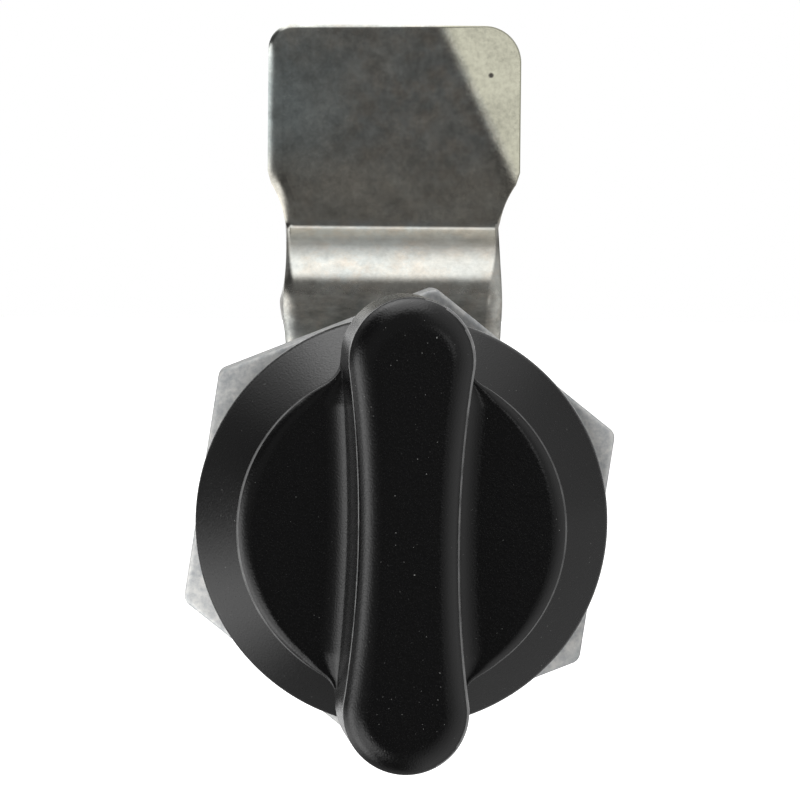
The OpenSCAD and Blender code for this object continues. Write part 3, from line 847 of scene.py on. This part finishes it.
def cam_mesh(sizes):
    """Points and faces of the cam: a rounded rim, two ladder-like faces and the square hole."""
    plate = CamPlate(sizes)
    halves = [plate.half_outline(sizes.corner, sizes.wider), plate.half_outline(sizes.left_corner)]
    normals = [outline_normals(half) for half in halves]
    count = len(halves[0])
    top = sizes.thickness / 2
    ladder_step = 0.02 * MM
    quarter = np.linspace(0.0, math.pi / 2, 7)
    profile = [(-1.0, q) for q in quarter[::-1]] + [(1.0, share) for share in np.linspace(1.0, 0.0, 10)]

    points, faces = [], []

    def add(x, y, h):
        points.append(plate.place(x, y, h))
        return len(points) - 1

    loops = []
    for side, turn in profile:
        pair = []
        for sign, half, normal in zip((1.0, -1.0), halves, normals):
            loop = []
            for i, (p, n) in enumerate(zip(half, normal)):
                if side > 0:
                    edge, slope = plate.edge(p, sign > 0), plate.edge_slope(p[1])
                    inset = edge * (1 - math.sin(turn * slope) / math.sin(slope))
                    drop = edge * (1 - math.cos(turn * slope)) / math.sin(slope)
                else:
                    inset = sizes.back_edge * (1 - math.cos(turn))
                    drop = sizes.back_edge * (1 - math.sin(turn))
                q = p - inset * n
                shared = i == 0 and pair
                loop.append(pair[0][0] if shared else add(sign * max(q[0], 0.0), q[1], side * (top - drop)))
            pair.append(loop)
        loops.append(pair)
    for (right_a, left_a), (right_b, left_b) in zip(loops[:-1], loops[1:]):
        for i in range(count - 1):
            faces.append((right_a[i], right_a[i + 1], right_b[i + 1], right_b[i]))
            faces.append((left_a[i + 1], left_a[i], left_b[i], left_b[i + 1]))
        faces.append((right_a[-1], left_a[-1], left_b[-1], right_b[-1]))

    hole = sizes.hole / 2
    heights = halves[0][:, 1]
    span = [i for i in range(1, count) if -hole - 1e-6 <= heights[i] <= hole + 1e-6]
    mouths = []
    for (right, left), side in ((loops[0], -1.0), (loops[-1], 1.0)):
        inner = {}
        ends = [points[right[-1]], points[left[-1]]]
        for i in range(1, count):
            x = min(hole, 0.6 * abs(points[right[i]][0]))
            pair = []
            for k, sign in enumerate((1.0, -1.0)):
                edge = plate.edge(halves[k][i], sign > 0) if side > 0 else sizes.back_edge
                y = heights[i] if i in span else halves[k][i][1] - edge * normals[k][i][1]
                below = np.interp(sign * x, [ends[1][0], ends[0][0]], [ends[1][1], ends[0][1]])
                y = below if i == count - 1 else min(y, below - ladder_step * (count - 1 - i))
                pair.append(add(sign * x, y, side * top))
            inner[i] = tuple(pair)
        for i in range(1, count - 1):
            faces.append((right[i], right[i + 1], inner[i + 1][0], inner[i][0]))
            faces.append((left[i + 1], left[i], inner[i][1], inner[i + 1][1]))
            if not (i in span and i + 1 in span):
                faces.append((inner[i][0], inner[i + 1][0], inner[i + 1][1], inner[i][1]))
        faces.append((right[count - 1], left[count - 1], inner[count - 1][1], inner[count - 1][0]))
        faces.append((right[0], right[1], inner[1][0], inner[1][1], left[1]))
        mouths.append(inner)
    back, front = mouths
    for i, k in zip(span[:-1], span[1:]):
        faces.append((back[i][0], back[k][0], front[k][0], front[i][0]))
        faces.append((back[k][1], back[i][1], front[i][1], front[k][1]))
    for i in (span[0], span[-1]):
        faces.append((back[i][0], back[i][1], front[i][1], front[i][0]))
    return np.array(points), faces


class LATCH_OT_cam(Operator):
    """Builds the cranked cam, with its rounded sheared edges and swollen bend"""

    bl_idname = "latch.cam"
    bl_label = "Cam"

    def execute(self, context):
        points, faces = cam_mesh(context.scene.latch_cam)
        piece = new_piece("cam_plate", to_row(points), faces, sharp=32.0)
        dress(piece, TURNING_BODY, "cam", cam_plate_finish(context.scene.latch_finish))
        return {"FINISHED"}


# Screw and washers

class LATCH_OT_screw(Operator):
    """Builds the cam's hex screw, its plain washer and its split spring washer"""

    bl_idname = "latch.screw"
    bl_label = "Screw and washers"

    def execute(self, context):
        sizes = context.scene.latch_cam
        finish = zinc_plate(context.scene.latch_finish)
        self.screw(sizes, finish)
        outer, inner = width_of("cam_washer") / 2, sizes.screw_hole / 2
        section = ring_section(outer, inner, WASHER_BACK, WASHER_FRONT, (0.35, 0.2, 0.2, 0.2))
        washer = lathe("washer_plain", section, 128)
        dress(washer, TURNING_BODY, "cam_washer", finish)
        self.split_washer(sizes, finish)
        return {"FINISHED"}

    @staticmethod
    def screw(sizes, finish):
        """Hex head with a turned chamfer, and a threaded shank."""
        loop = hex_columns(sizes.screw_flats, 0.25 * MM, 0.0, 12, 4)
        turn = np.arctan2(loop[:, 1], loop[:, 0])
        around = facing(turn)
        hexagon = np.linalg.norm(loop, axis=1)
        cap = sizes.screw_flats / 2 * 0.95
        rise = math.tan(math.radians(28.0))
        shank = 3.0 * MM
        pitch, depth = 1.0 * MM, 0.5 * MM
        bevel, point = 0.1 * MM, 0.8 * MM
        rows = [ring(around, cap * share, SCREW_BACK) for share in (0.0, 0.8, 1.0)]
        rows.append(ring(around, hexagon, SCREW_BACK + (hexagon - cap) * rise))
        rows.append(ring(around, hexagon, SPLIT_BACK - bevel))
        rows.append(ring(around, hexagon - bevel, SPLIT_BACK))
        rows.append(ring(around, shank, SPLIT_BACK))
        for z in np.arange(SPLIT_BACK + 0.2 * MM, SCREW_FRONT - 0.6 * MM, pitch / 6):
            wave = thread_wave(z / pitch - turn / (2 * math.pi))
            rows.append(ring(around, shank - depth * wave, z))
        rows.append(ring(around, shank - point, SCREW_FRONT))
        rows.append(ring(around, 0.0, SCREW_FRONT))
        piece = skin("screw_hex", rows, 22.0)
        dress(piece, TURNING_BODY, "cam_screw", finish)

    @staticmethod
    def split_washer(sizes, finish):
        """One turn of a square section that does not quite close, with slanted ends."""
        outer, inner = width_of("spring_washer") / 2, sizes.screw_hole / 2
        section = ring_section(outer, inner, SPLIT_BACK, SPLIT_FRONT, (0.2, 0.2, 0.2, 0.2), 3)
        middle = (SPLIT_FRONT + SPLIT_BACK) / 2
        first_end, last_end = math.radians(-84.0), math.radians(264.0)
        slant = math.tan(math.radians(25.0)) / outer
        rows = []
        for a in np.linspace(first_end, last_end, 110):
            near_end = (abs(a - math.pi / 2) / math.pi) ** 6
            sheared = a + near_end * slant * (section[:, 1] - middle)
            rows.append(ring(facing(sheared), section[:, 0], section[:, 1]))
        piece = skin("washer_split", rows, caps=True)
        dress(piece, TURNING_BODY, "spring_washer", finish)


class LATCH_OT_inner_pieces(Operator):
    """Gives the spindle, the sealing ring and the two spring-steel rings their finishes"""

    bl_idname = "latch.inner_pieces"
    bl_label = "Inner pieces"

    def execute(self, context):
        colours = context.scene.latch_finish
        finishes = {
            "spindle": zinc_plate(colours),
            "seal_ring": rubber(colours),
            "wave_washer": spring_steel(colours),
            "retaining_ring": spring_steel(colours),
        }
        for name, material in finishes.items():
            mesh = NODES[name].data
            mesh.materials.clear()
            mesh.materials.append(material)
        return {"FINISHED"}


# Finishes

class NodeWork:
    """A node tree under construction, with short ways to add its nodes."""

    def __init__(self, owner):
        owner.use_nodes = True
        self.tree = owner.node_tree

    def node(self, kind, **settings):
        """A new node with its settings."""
        made = self.tree.nodes.new(kind)
        for key, value in settings.items():
            setattr(made, key, value)
        return made

    def link(self, source, target):
        """Joins an output to an input."""
        self.tree.links.new(source, target)

    def math(self, operation, a, b=0.0):
        """A sum, product or the like of two values; b may be a number."""
        made = self.node("ShaderNodeMath", operation=operation)
        self.link(a, made.inputs[0])
        if isinstance(b, float):
            made.inputs[1].default_value = b
        else:
            self.link(b, made.inputs[1])
        return made.outputs["Value"]

    def ramp(self, source, low, high, out_low=0.0, out_high=1.0, curve="LINEAR"):
        """Maps a range of a value to another range."""
        made = self.node("ShaderNodeMapRange", clamp=True, interpolation_type=curve)
        for key, value in (("From Min", low), ("From Max", high), ("To Min", out_low), ("To Max", out_high)):
            made.inputs[key].default_value = value
        self.link(source, made.inputs["Value"])
        return made.outputs["Result"]

    def along(self, source, direction):
        """How far a vector reaches along a direction."""
        made = self.node("ShaderNodeVectorMath", operation="DOT_PRODUCT")
        self.link(source, made.inputs[0])
        made.inputs[1].default_value = direction
        return made.outputs["Value"]


class Finish(NodeWork):
    """A material under construction."""

    def __init__(self, name):
        self.material = bpy.data.materials.new(name)
        super().__init__(self.material)
        self.shader = self.tree.nodes["Principled BSDF"]
        self.place = self.node("ShaderNodeTexCoord").outputs["Object"]

    def set(self, **values):
        """Sets the shader's own sockets."""
        for key, value in values.items():
            self.shader.inputs[key].default_value = value

    def paint(self, colour):
        """Gives the surface its colour."""
        self.link(colour, self.shader.inputs["Base Color"])

    def roughen(self, rough):
        """Gives the surface its roughness."""
        self.link(rough, self.shader.inputs["Roughness"])

    def noise(self, size, detail=2.0, roughness=0.5, stretch=None):
        """Noise whose features are about that size in metres."""
        made = self.node("ShaderNodeTexNoise")
        made.inputs["Scale"].default_value = 1.0 / size
        made.inputs["Detail"].default_value = detail
        made.inputs["Roughness"].default_value = roughness
        source = self.place
        if stretch is not None:
            mapping = self.node("ShaderNodeMapping")
            mapping.inputs["Scale"].default_value = stretch
            self.link(source, mapping.inputs["Vector"])
            source = mapping.outputs["Vector"]
        self.link(source, made.inputs["Vector"])
        return made.outputs["Fac"]

    def mix(self, share, a, b):
        """A colour between a and b; each is a colour or an output."""
        made = self.node("ShaderNodeMix", data_type="RGBA")
        self.link(share, made.inputs["Factor"])
        for key, value in (("A", a), ("B", b)):
            socket = [s for s in made.inputs if s.name == key and s.type == "RGBA"][0]
            if isinstance(value, bpy.types.NodeSocket):
                self.link(value, socket)
            else:
                socket.default_value = (*value, 1.0)
        return [s for s in made.outputs if s.type == "RGBA"][0]

    def scaled(self, colour, share):
        """A colour that is made darker or paler by a value."""
        made = self.node("ShaderNodeVectorMath", operation="SCALE")
        self.link(colour, made.inputs[0])
        self.link(share, made.inputs["Scale"])
        return made.outputs["Vector"]

    def distance(self, x, z):
        """Distance from a line along the lock's axis, in metres."""
        flat = self.node("ShaderNodeVectorMath", operation="MULTIPLY")
        self.link(self.place, flat.inputs[0])
        flat.inputs[1].default_value = (1.0, 0.0, 1.0)
        made = self.node("ShaderNodeVectorMath", operation="DISTANCE")
        self.link(flat.outputs["Vector"], made.inputs[0])
        made.inputs[1].default_value = (x, 0.0, z)
        return made.outputs["Value"]

    def beyond(self, point, direction):
        """How far a place lies beyond a plane through a point, along a direction, in metres."""
        start = sum(p * d for p, d in zip(point, direction))
        return self.math("SUBTRACT", self.along(self.place, direction), start)

    def above(self, height):
        """How far a place lies above a height, in metres."""
        return self.beyond((0.0, 0.0, height), UP)

    def below(self, height):
        """How far a place lies below a height, in metres."""
        return self.beyond((0.0, 0.0, height), DOWN)

    def soft_rise(self, source, soft):
        """Follows a value where it is above 0 and stays at 0 below, with a soft bend between."""
        made = self.node("ShaderNodeMath", operation="SMOOTH_MAX")
        self.link(source, made.inputs[0])
        made.inputs[1].default_value = 0.0
        made.inputs[2].default_value = soft
        return made.outputs["Value"]

    def bump(self, height, distance, under=None):
        """Adds relief to the surface, on top of the relief under it."""
        made = self.node("ShaderNodeBump")
        made.inputs["Strength"].default_value = 1.0
        made.inputs["Distance"].default_value = distance
        self.link(height, made.inputs["Height"])
        if under is not None:
            self.link(under, made.inputs["Normal"])
        self.link(made.outputs["Normal"], self.shader.inputs["Normal"])
        return made.outputs["Normal"]


def finish_once(make):
    """Makes each material a single time, however many pieces use it."""
    made = {}

    def once(colours):
        if "material" not in made:
            made["material"] = make(colours)
        return made["material"]

    return once


def coat_finish(name, colours):
    """Black powder coat: semi-gloss, with a fine sandy grain and a little dust."""
    f = Finish(name)
    f.set(Metallic=0.0, IOR=1.55)
    peel = f.noise(0.13 * MM, 1.0, 0.5)
    f.bump(peel, 0.014 * MM)
    f.roughen(f.ramp(peel, 0.3, 0.7, 0.17, 0.29))
    grains = f.ramp(f.noise(0.16 * MM, 1.0), 0.765, 0.80)
    drift = f.ramp(f.noise(3.0 * MM, 2.0), 0.42, 0.62)
    dusty = f.mix(f.math("MULTIPLY", grains, drift), colours.coat, colours.dust)
    f.paint(dusty)
    return f, dusty


@finish_once
def black_coat(colours):
    """Coat of the knob and the housing."""
    f, _ = coat_finish("black_coat", colours)
    return f.material


def wear_and_highlight_finish(name, colours, wear_and_highlight):
    """Coat that is rubbed thin in patches, where its paler colour is also a painted highlight."""
    f, dusty = coat_finish(name, colours)
    patchy = f.ramp(f.noise(1.2 * MM, 3.0), 0.3, 0.6, 0.5, 1.0)
    f.paint(f.mix(patchy, dusty, wear_and_highlight))
    return f.material


@finish_once
def rim_wear_and_highlight(colours):
    """Coat along the edge of the knob's disc: rubbed coat and a painted highlight line."""
    return wear_and_highlight_finish("black_coat_rim_wear_and_highlight", colours, colours.rim_wear_and_highlight)


@finish_once
def ridge_wear_and_highlight(colours):
    """Coat along the wing's shoulders, where fingers rub, with a painted highlight line that spreads over the
    crown on the right.
    """
    return wear_and_highlight_finish("black_coat_ridge_wear_and_highlight", colours, colours.ridge_wear_and_highlight)


@finish_once
def rubber(colours):
    """Matt black rubber with a faint grain and paler patches."""
    f = Finish("rubber")
    f.set(Metallic=0.0, IOR=1.5)
    grain = f.noise(0.15 * MM, 2.0)
    f.bump(grain, 0.004 * MM)
    f.roughen(f.ramp(grain, 0.3, 0.7, 0.62, 0.78))
    patches = f.ramp(f.noise(2.5 * MM), 0.35, 0.7)
    f.paint(f.mix(patches, colours.rubber, [2.2 * c for c in colours.rubber]))
    return f.material


def plate_finish(name, colours):
    """Zinc plate over rolled steel: cool and warm patches, fine grain and soft waves."""
    f = Finish(name)
    f.set(Metallic=1.0)
    patches = f.ramp(f.noise(4.5 * MM, 3.0, 0.6), 0.40, 0.60)
    cool = f.mix(patches, colours.plate, colours.plate_cool)
    stains = f.ramp(f.noise(1.6 * MM, 5.0, 0.7), 0.46, 0.66)
    mottle = f.ramp(f.noise(1.1 * MM, 5.0, 0.7), 0.32, 0.68, 0.86, 1.14)
    tinted = f.scaled(f.mix(stains, cool, colours.plate_warm), mottle)
    grain = f.noise(0.3 * MM, 3.0, 0.6)
    rough = f.math("ADD", f.ramp(grain, 0.3, 0.7, 0.0, 0.08), f.ramp(patches, 0.0, 1.0, 0.13, 0.18))
    f.roughen(rough)
    waves = f.bump(f.noise(5.0 * MM, 1.0), 0.012 * MM)
    relief = f.bump(grain, 0.004 * MM, under=waves)
    return f, tinted, rough, relief


@finish_once
def zinc_plate(colours):
    """Zinc plate of the screw, the washers and the spindle."""
    f, tinted, _, _ = plate_finish("zinc_plate", colours)
    f.paint(tinted)
    return f.material


@finish_once
def cam_plate_finish(colours):
    """Zinc plate of the cam: a small hollow painted as a dark spot of shade and a slight dent on its tip, a
    painted cream reflection across the tip's corner, a painted dark band of shade on its crank and a dull
    root.
    """
    f, tinted, rough, relief = plate_finish("zinc_plate_cam", colours)
    bluish = f.ramp(f.distance(-8.5 * MM, 28.5 * MM), 1.5 * MM, 7.0 * MM, 0.75, 0.0)
    tinted = f.mix(bluish, tinted, colours.plate_blue)
    low = f.ramp(f.below(26.0 * MM), 0.0, 3.5 * MM, 0.0, 0.6)
    brownish = f.math("MULTIPLY", low, f.ramp(f.above(19.8 * MM), 0.0, 0.4 * MM))
    tinted = f.mix(brownish, tinted, colours.plate_brown)
    on_tip = f.ramp(f.above(19.9 * MM), 0.0, 0.4 * MM)
    clouds = f.ramp(f.noise(1.5 * MM, 6.0, 0.75), 0.30, 0.70, 0.70, 1.30)
    on_root = f.ramp(f.below(15.3 * MM), 0.0, 0.6 * MM)
    streaks = f.ramp(f.noise(1.4 * MM, 5.0, 0.7, (0.4, 1.0, 1.0)), 0.34, 0.66, 0.55, 1.35)
    for share, tone in ((on_tip, clouds), (on_root, streaks)):
        tinted = f.mix(share, tinted, f.scaled(tinted, tone))
    # Painted shade: a dark band across the crank near its upper bend, where the slope mirrors the tip's dark
    # face
    painted_bend_shade = f.ramp(f.math("ABSOLUTE", f.above(18.5 * MM)), 0.2 * MM, 1.4 * MM, 0.40, 1.0)
    tinted = f.scaled(tinted, painted_bend_shade)

    front = f.ramp(f.beyond((0.0, 22.6 * MM, 0.0), FORWARD), 0.0, 0.3 * MM)
    over = f.beyond((3.4 * MM, 0.0, 34.0 * MM), (0.896, 0.0, 0.444))
    # Painted reflection: cream over the upper right corner of the tip, on its front face only, on top of the
    # dent that mirrors the studio's card
    cream = f.math("MULTIPLY", f.ramp(over, -0.3 * MM, 0.7 * MM), front)
    tinted = f.mix(cream, tinted, colours.painted_cream_reflection)
    # Painted shade: a small dark spot on the front face that stands in for the shade of a hollow the mesh
    # lacks
    hollow = f.ramp(f.distance(7.1 * MM, 30.7 * MM), 0.12 * MM, 0.24 * MM, 1.0, 0.0)
    painted_pit_shade = f.math("MULTIPLY", hollow, front)
    f.paint(f.mix(painted_pit_shade, tinted, [0.15 * c for c in colours.plate_warm]))
    dull = f.ramp(f.below(16.0 * MM), 0.0, 1.5 * MM, 0.0, 0.14)
    f.roughen(f.math("ADD", rough, dull))
    f.bump(f.soft_rise(over, 1.4 * MM), -math.tan(math.radians(10.0)), under=relief)
    return f.material


@finish_once
def zinc_cast(colours):
    """Dull zinc with the mottling of a hot dip, paler towards the two corners that stand out sideways."""
    f = Finish("zinc_cast")
    f.set(Metallic=0.35)
    blotches = f.noise(0.9 * MM, 5.0, 0.68)
    grain = f.noise(0.35 * MM, 2.0)
    mottle = f.math("ADD", f.math("MULTIPLY", blotches, 0.7), f.math("MULTIPLY", grain, 0.3))
    dipped = f.mix(f.ramp(mottle, 0.36, 0.62), colours.cast_dark, colours.cast)
    sideways = f.math("ABSOLUTE", f.along(f.place, (0.927, 0.0, 0.374)))
    f.paint(f.scaled(dipped, f.ramp(sideways, 8.0 * MM, 15.0 * MM, 0.84, 1.12)))
    f.roughen(f.ramp(mottle, 0.35, 0.65, 0.62, 0.45))
    f.bump(mottle, 0.02 * MM)
    return f.material


@finish_once
def spring_steel(colours):
    """Dark spring steel with a thin film of oil."""
    f = Finish("spring_steel")
    f.set(Metallic=1.0)
    film = f.noise(1.2 * MM, 3.0)
    f.paint(f.mix(f.ramp(film, 0.35, 0.7), colours.spring, [1.7 * c for c in colours.spring]))
    f.roughen(f.ramp(film, 0.3, 0.7, 0.28, 0.42))
    return f.material


# Stage

def look_at(thing, place, target, roll=0.0):
    """Puts a camera or lamp at a place, facing a target, with the picture turned clockwise by roll."""
    thing.location = place
    turn = (Vector(target) - Vector(place)).to_track_quat("-Z", "Y")
    thing.rotation_euler = turn.to_euler()
    if roll:
        thing.rotation_euler.rotate_axis("Z", roll)


def add_camera(scene, stage):
    """The camera, a little above and to the left of the lock's axis."""
    data = bpy.data.cameras.new("camera")
    camera = bpy.data.objects.new("camera", data)
    scene.collection.objects.link(camera)
    target = Vector((stage.target_x, 0.0, stage.target_z))
    flat = math.cos(stage.elevation)
    back = Vector(
        (math.sin(stage.azimuth) * flat, -math.cos(stage.azimuth) * flat, math.sin(stage.elevation))
    )
    look_at(camera, target + back * stage.distance, target, stage.roll)
    focal_pixels = stage.scale / MM * stage.distance
    data.lens = focal_pixels / IMAGE_SIDE * data.sensor_width
    data.clip_start = 0.01
    data.clip_end = 20.0
    scene.camera = camera


def add_front_fill(scene, stage):
    """A square lamp in front, low on the left, that lights matt surfaces and shows in no reflection."""
    data = bpy.data.lights.new("front_fill", "AREA")
    data.shape = "SQUARE"
    data.size = stage.fill_side
    data.energy = stage.fill_radiance * math.pi * stage.fill_side**2
    lamp = bpy.data.objects.new("front_fill", data)
    scene.collection.objects.link(lamp)
    look_at(lamp, (-0.08, -0.28, -0.06), (0.0, 0.0, 0.0))
    lamp.visible_camera = False
    lamp.visible_glossy = False


class Studio(NodeWork):
    """The world's nodes: light that depends on the direction alone, with every angle in degrees.

    The angle around the lock's axis is 0 on the left and grows over the top, and below the left it is
    negative. The other angle is counted away from the camera.
    """

    def __init__(self, world):
        super().__init__(world)
        self.direction = self.node("ShaderNodeTexCoord").outputs["Generated"]
        up, left = self.along(self.direction, UP), self.along(self.direction, LEFT)
        self.around = self.math("ARCTAN2", up, left)
        self.away = self.math("ARCCOSINE", self.along(self.direction, FORWARD))
        self.total = None

    def step(self, value, at, soft, rising=True):
        """Goes softly between 0 and 1 around an angle."""
        ends = (0.0, 1.0) if rising else (1.0, 0.0)
        return self.ramp(value, math.radians(at - soft), math.radians(at + soft), *ends, curve="SMOOTHSTEP")

    def between(self, value, span, soft):
        """Goes softly up at the first angle of a span and down again at its last."""
        rise = self.step(value, span[0], soft[0])
        return self.math("MULTIPLY", rise, self.step(value, span[1], soft[1], rising=False))

    def add(self, light):
        """Adds light to the total."""
        self.total = light if self.total is None else self.math("ADD", self.total, light)

    def band(self, level, away, soft):
        """Light all around the lock's axis, between two angles away from the camera."""
        self.add(self.math("MULTIPLY", self.between(self.away, away, soft), level))

    def panel(self, level, around, away, soft_around, soft_away):
        """A soft panel, between two angles around the lock's axis and two angles away from the camera."""
        light = self.math("MULTIPLY", self.between(self.away, away, soft_away), level)
        self.add(self.math("MULTIPLY", light, self.between(self.around, around, (soft_around, soft_around))))

    def right_panel(self, levels, ends, away, soft_away):
        """A soft panel on the right, in an upper and a lower half, as the angle around jumps there."""
        past_jump = 200.0
        self.panel(levels[0], (ends[0], past_jump), away, 14.0, soft_away)
        self.panel(levels[1], (-past_jump, ends[1]), away, 14.0, soft_away)

    def card(self, level, around, away, size, soft):
        """A small round card at one angle around the lock's axis and one angle away from the camera."""
        a, t = math.radians(around), math.radians(away)
        middle = (-math.sin(t) * math.cos(a), -math.cos(t), math.sin(t) * math.sin(a))
        off = self.math("ARCCOSINE", self.along(self.direction, middle))
        self.add(self.math("MULTIPLY", self.step(off, size, soft, rising=False), level))

    def show(self):
        """Lights the scene with the total; the camera itself sees plain white."""
        rays = self.node("ShaderNodeLightPath")
        mix = self.node("ShaderNodeMix")
        self.link(rays.outputs["Is Camera Ray"], mix.inputs["Factor"])
        self.link(self.total, mix.inputs["A"])
        mix.inputs["B"].default_value = 1.0
        self.link(mix.outputs["Result"], self.tree.nodes["Background"].inputs["Color"])


def add_world(scene):
    """White paper behind the latch, soft panels on the left, above and on the right, dark in front."""
    world = bpy.data.worlds.new("studio")
    scene.world = world
    studio = Studio(world)
    # A faint light from everywhere, and the paper
    studio.band(0.065, away=(-10.0, 190.0), soft=(5.0, 5.0))
    studio.band(0.92, away=(158.0, 190.0), soft=(7.0, 5.0))
    # Left, from the front to the back
    studio.panel(0.09, around=(-14.0, 118.0), away=(6.0, 58.0), soft_around=12.0, soft_away=(4.0, 14.0))
    studio.panel(1.4, around=(-66.0, -22.0), away=(44.0, 64.0), soft_around=12.0, soft_away=(10.0, 10.0))
    studio.panel(2.2, around=(-56.0, 4.0), away=(70.0, 102.0), soft_around=12.0, soft_away=(24.0, 12.0))
    studio.panel(0.95, around=(-46.0, -13.0), away=(104.0, 138.0), soft_around=16.0, soft_away=(12.0, 8.0))
    studio.panel(0.10, around=(0.0, 50.0), away=(104.0, 135.0), soft_around=14.0, soft_away=(12.0, 10.0))
    studio.panel(0.13, around=(-92.0, -56.0), away=(104.0, 140.0), soft_around=12.0, soft_away=(12.0, 10.0))
    # Above, from the front to the back
    studio.panel(1.65, around=(60.0, 106.0), away=(66.0, 128.0), soft_around=12.0, soft_away=(16.0, 14.0))
    studio.panel(0.9, around=(44.0, 84.0), away=(104.0, 132.0), soft_around=18.0, soft_away=(14.0, 10.0))
    studio.panel(0.35, around=(98.0, 132.0), away=(106.0, 142.0), soft_around=14.0, soft_away=(12.0, 10.0))
    # Right, from the front to the back
    studio.right_panel((0.10, 0.10), ends=(118.0, -112.0), away=(18.0, 48.0), soft_away=(8.0, 14.0))
    studio.right_panel((0.5, 0.5), ends=(106.0, -100.0), away=(45.0, 110.0), soft_away=(28.0, 12.0))
    studio.right_panel((0.14, 0.20), ends=(105.0, -95.0), away=(110.0, 150.0), soft_away=(12.0, 10.0))
    studio.right_panel((0.3, 0.3), ends=(110.0, -110.0), away=(142.0, 168.0), soft_away=(10.0, 8.0))
    # Cards that the dent and the flat of the cam's tip mirror
    studio.card(0.92, around=155.0, away=23.3, size=7.5, soft=2.5)
    studio.card(0.105, around=166.0, away=2.0, size=5.0, soft=2.5)
    studio.show()


def add_floor(scene, stage, colours):
    """A pale floor below the latch, white further out; it takes the latch's shadow."""
    side = 1.5
    pale_to, white_from = 0.09, 0.16
    corners = [(-side, -side), (side, -side), (side, side), (-side, side)]
    mesh = bpy.data.meshes.new("floor")
    mesh.from_pydata([(x, y, -stage.floor_drop) for x, y in corners], [], [(0, 1, 2, 3)])
    floor = bpy.data.objects.new("floor", mesh)
    scene.collection.objects.link(floor)
    f = Finish("pale_floor")
    f.set(Roughness=0.9)
    f.shader.inputs["Base Color"].default_value = (*colours.floor, 1.0)
    from_middle = f.node("ShaderNodeVectorMath", operation="LENGTH")
    f.link(f.place, from_middle.inputs[0])
    glow = f.ramp(from_middle.outputs["Value"], pale_to, white_from, 0.35, 1.0)
    rays = f.node("ShaderNodeLightPath")
    f.shader.inputs["Emission Color"].default_value = (1.0, 1.0, 1.0, 1.0)
    f.link(f.math("MULTIPLY", glow, rays.outputs["Is Camera Ray"]), f.shader.inputs["Emission Strength"])
    mesh.materials.append(f.material)
    floor.visible_glossy = False
    floor.visible_diffuse = False
    floor.visible_shadow = False


class LATCH_OT_stage(Operator):
    """Sets up the camera, the soft lights, the white surroundings and the pale floor"""

    bl_idname = "latch.stage"
    bl_label = "Stage"

    def execute(self, context):
        scene = context.scene
        stage = scene.latch_stage
        scene.view_settings.view_transform = "Standard"
        add_camera(scene, stage)
        add_world(scene)
        add_floor(scene, stage, scene.latch_finish)
        add_front_fill(scene, stage)
        return {"FINISHED"}


class LATCH_PT_panel(Panel):
    """Lists the latch's pieces and its stage."""

    bl_idname = "LATCH_PT_panel"
    bl_label = "Cam latch"
    bl_space_type = "VIEW_3D"
    bl_region_type = "UI"
    bl_category = "Latch"

    def draw(self, context):
        column = self.layout.column()
        for operator in OPERATORS:
            column.operator(operator.bl_idname)
        for name in SETTINGS:
            group = getattr(context.scene, name)
            box = self.layout.box()
            for key in group.__annotations__:
                box.prop(group, key)


OPERATORS = (
    LATCH_OT_stage,
    LATCH_OT_wing_knob,
    LATCH_OT_housing,
    LATCH_OT_gasket,
    LATCH_OT_nut,
    LATCH_OT_cam,
    LATCH_OT_screw,
    LATCH_OT_inner_pieces,
)


def register():
    for group in SETTINGS.values():
        bpy.utils.register_class(group)
    for name, group in SETTINGS.items():
        setattr(bpy.types.Scene, name, PointerProperty(type=group))
    for operator in OPERATORS:
        bpy.utils.register_class(operator)
    bpy.utils.register_class(LATCH_PT_panel)


def unregister():
    bpy.utils.unregister_class(LATCH_PT_panel)
    for operator in reversed(OPERATORS):
        bpy.utils.unregister_class(operator)
    for name, group in SETTINGS.items():
        delattr(bpy.types.Scene, name)
        bpy.utils.unregister_class(group)


def main():
    register()
    bpy.ops.latch.stage()
    bpy.ops.latch.wing_knob()
    bpy.ops.latch.housing()
    bpy.ops.latch.gasket()
    bpy.ops.latch.nut()
    bpy.ops.latch.cam()
    bpy.ops.latch.screw()
    bpy.ops.latch.inner_pieces()


if __name__ == "__main__":
    main()
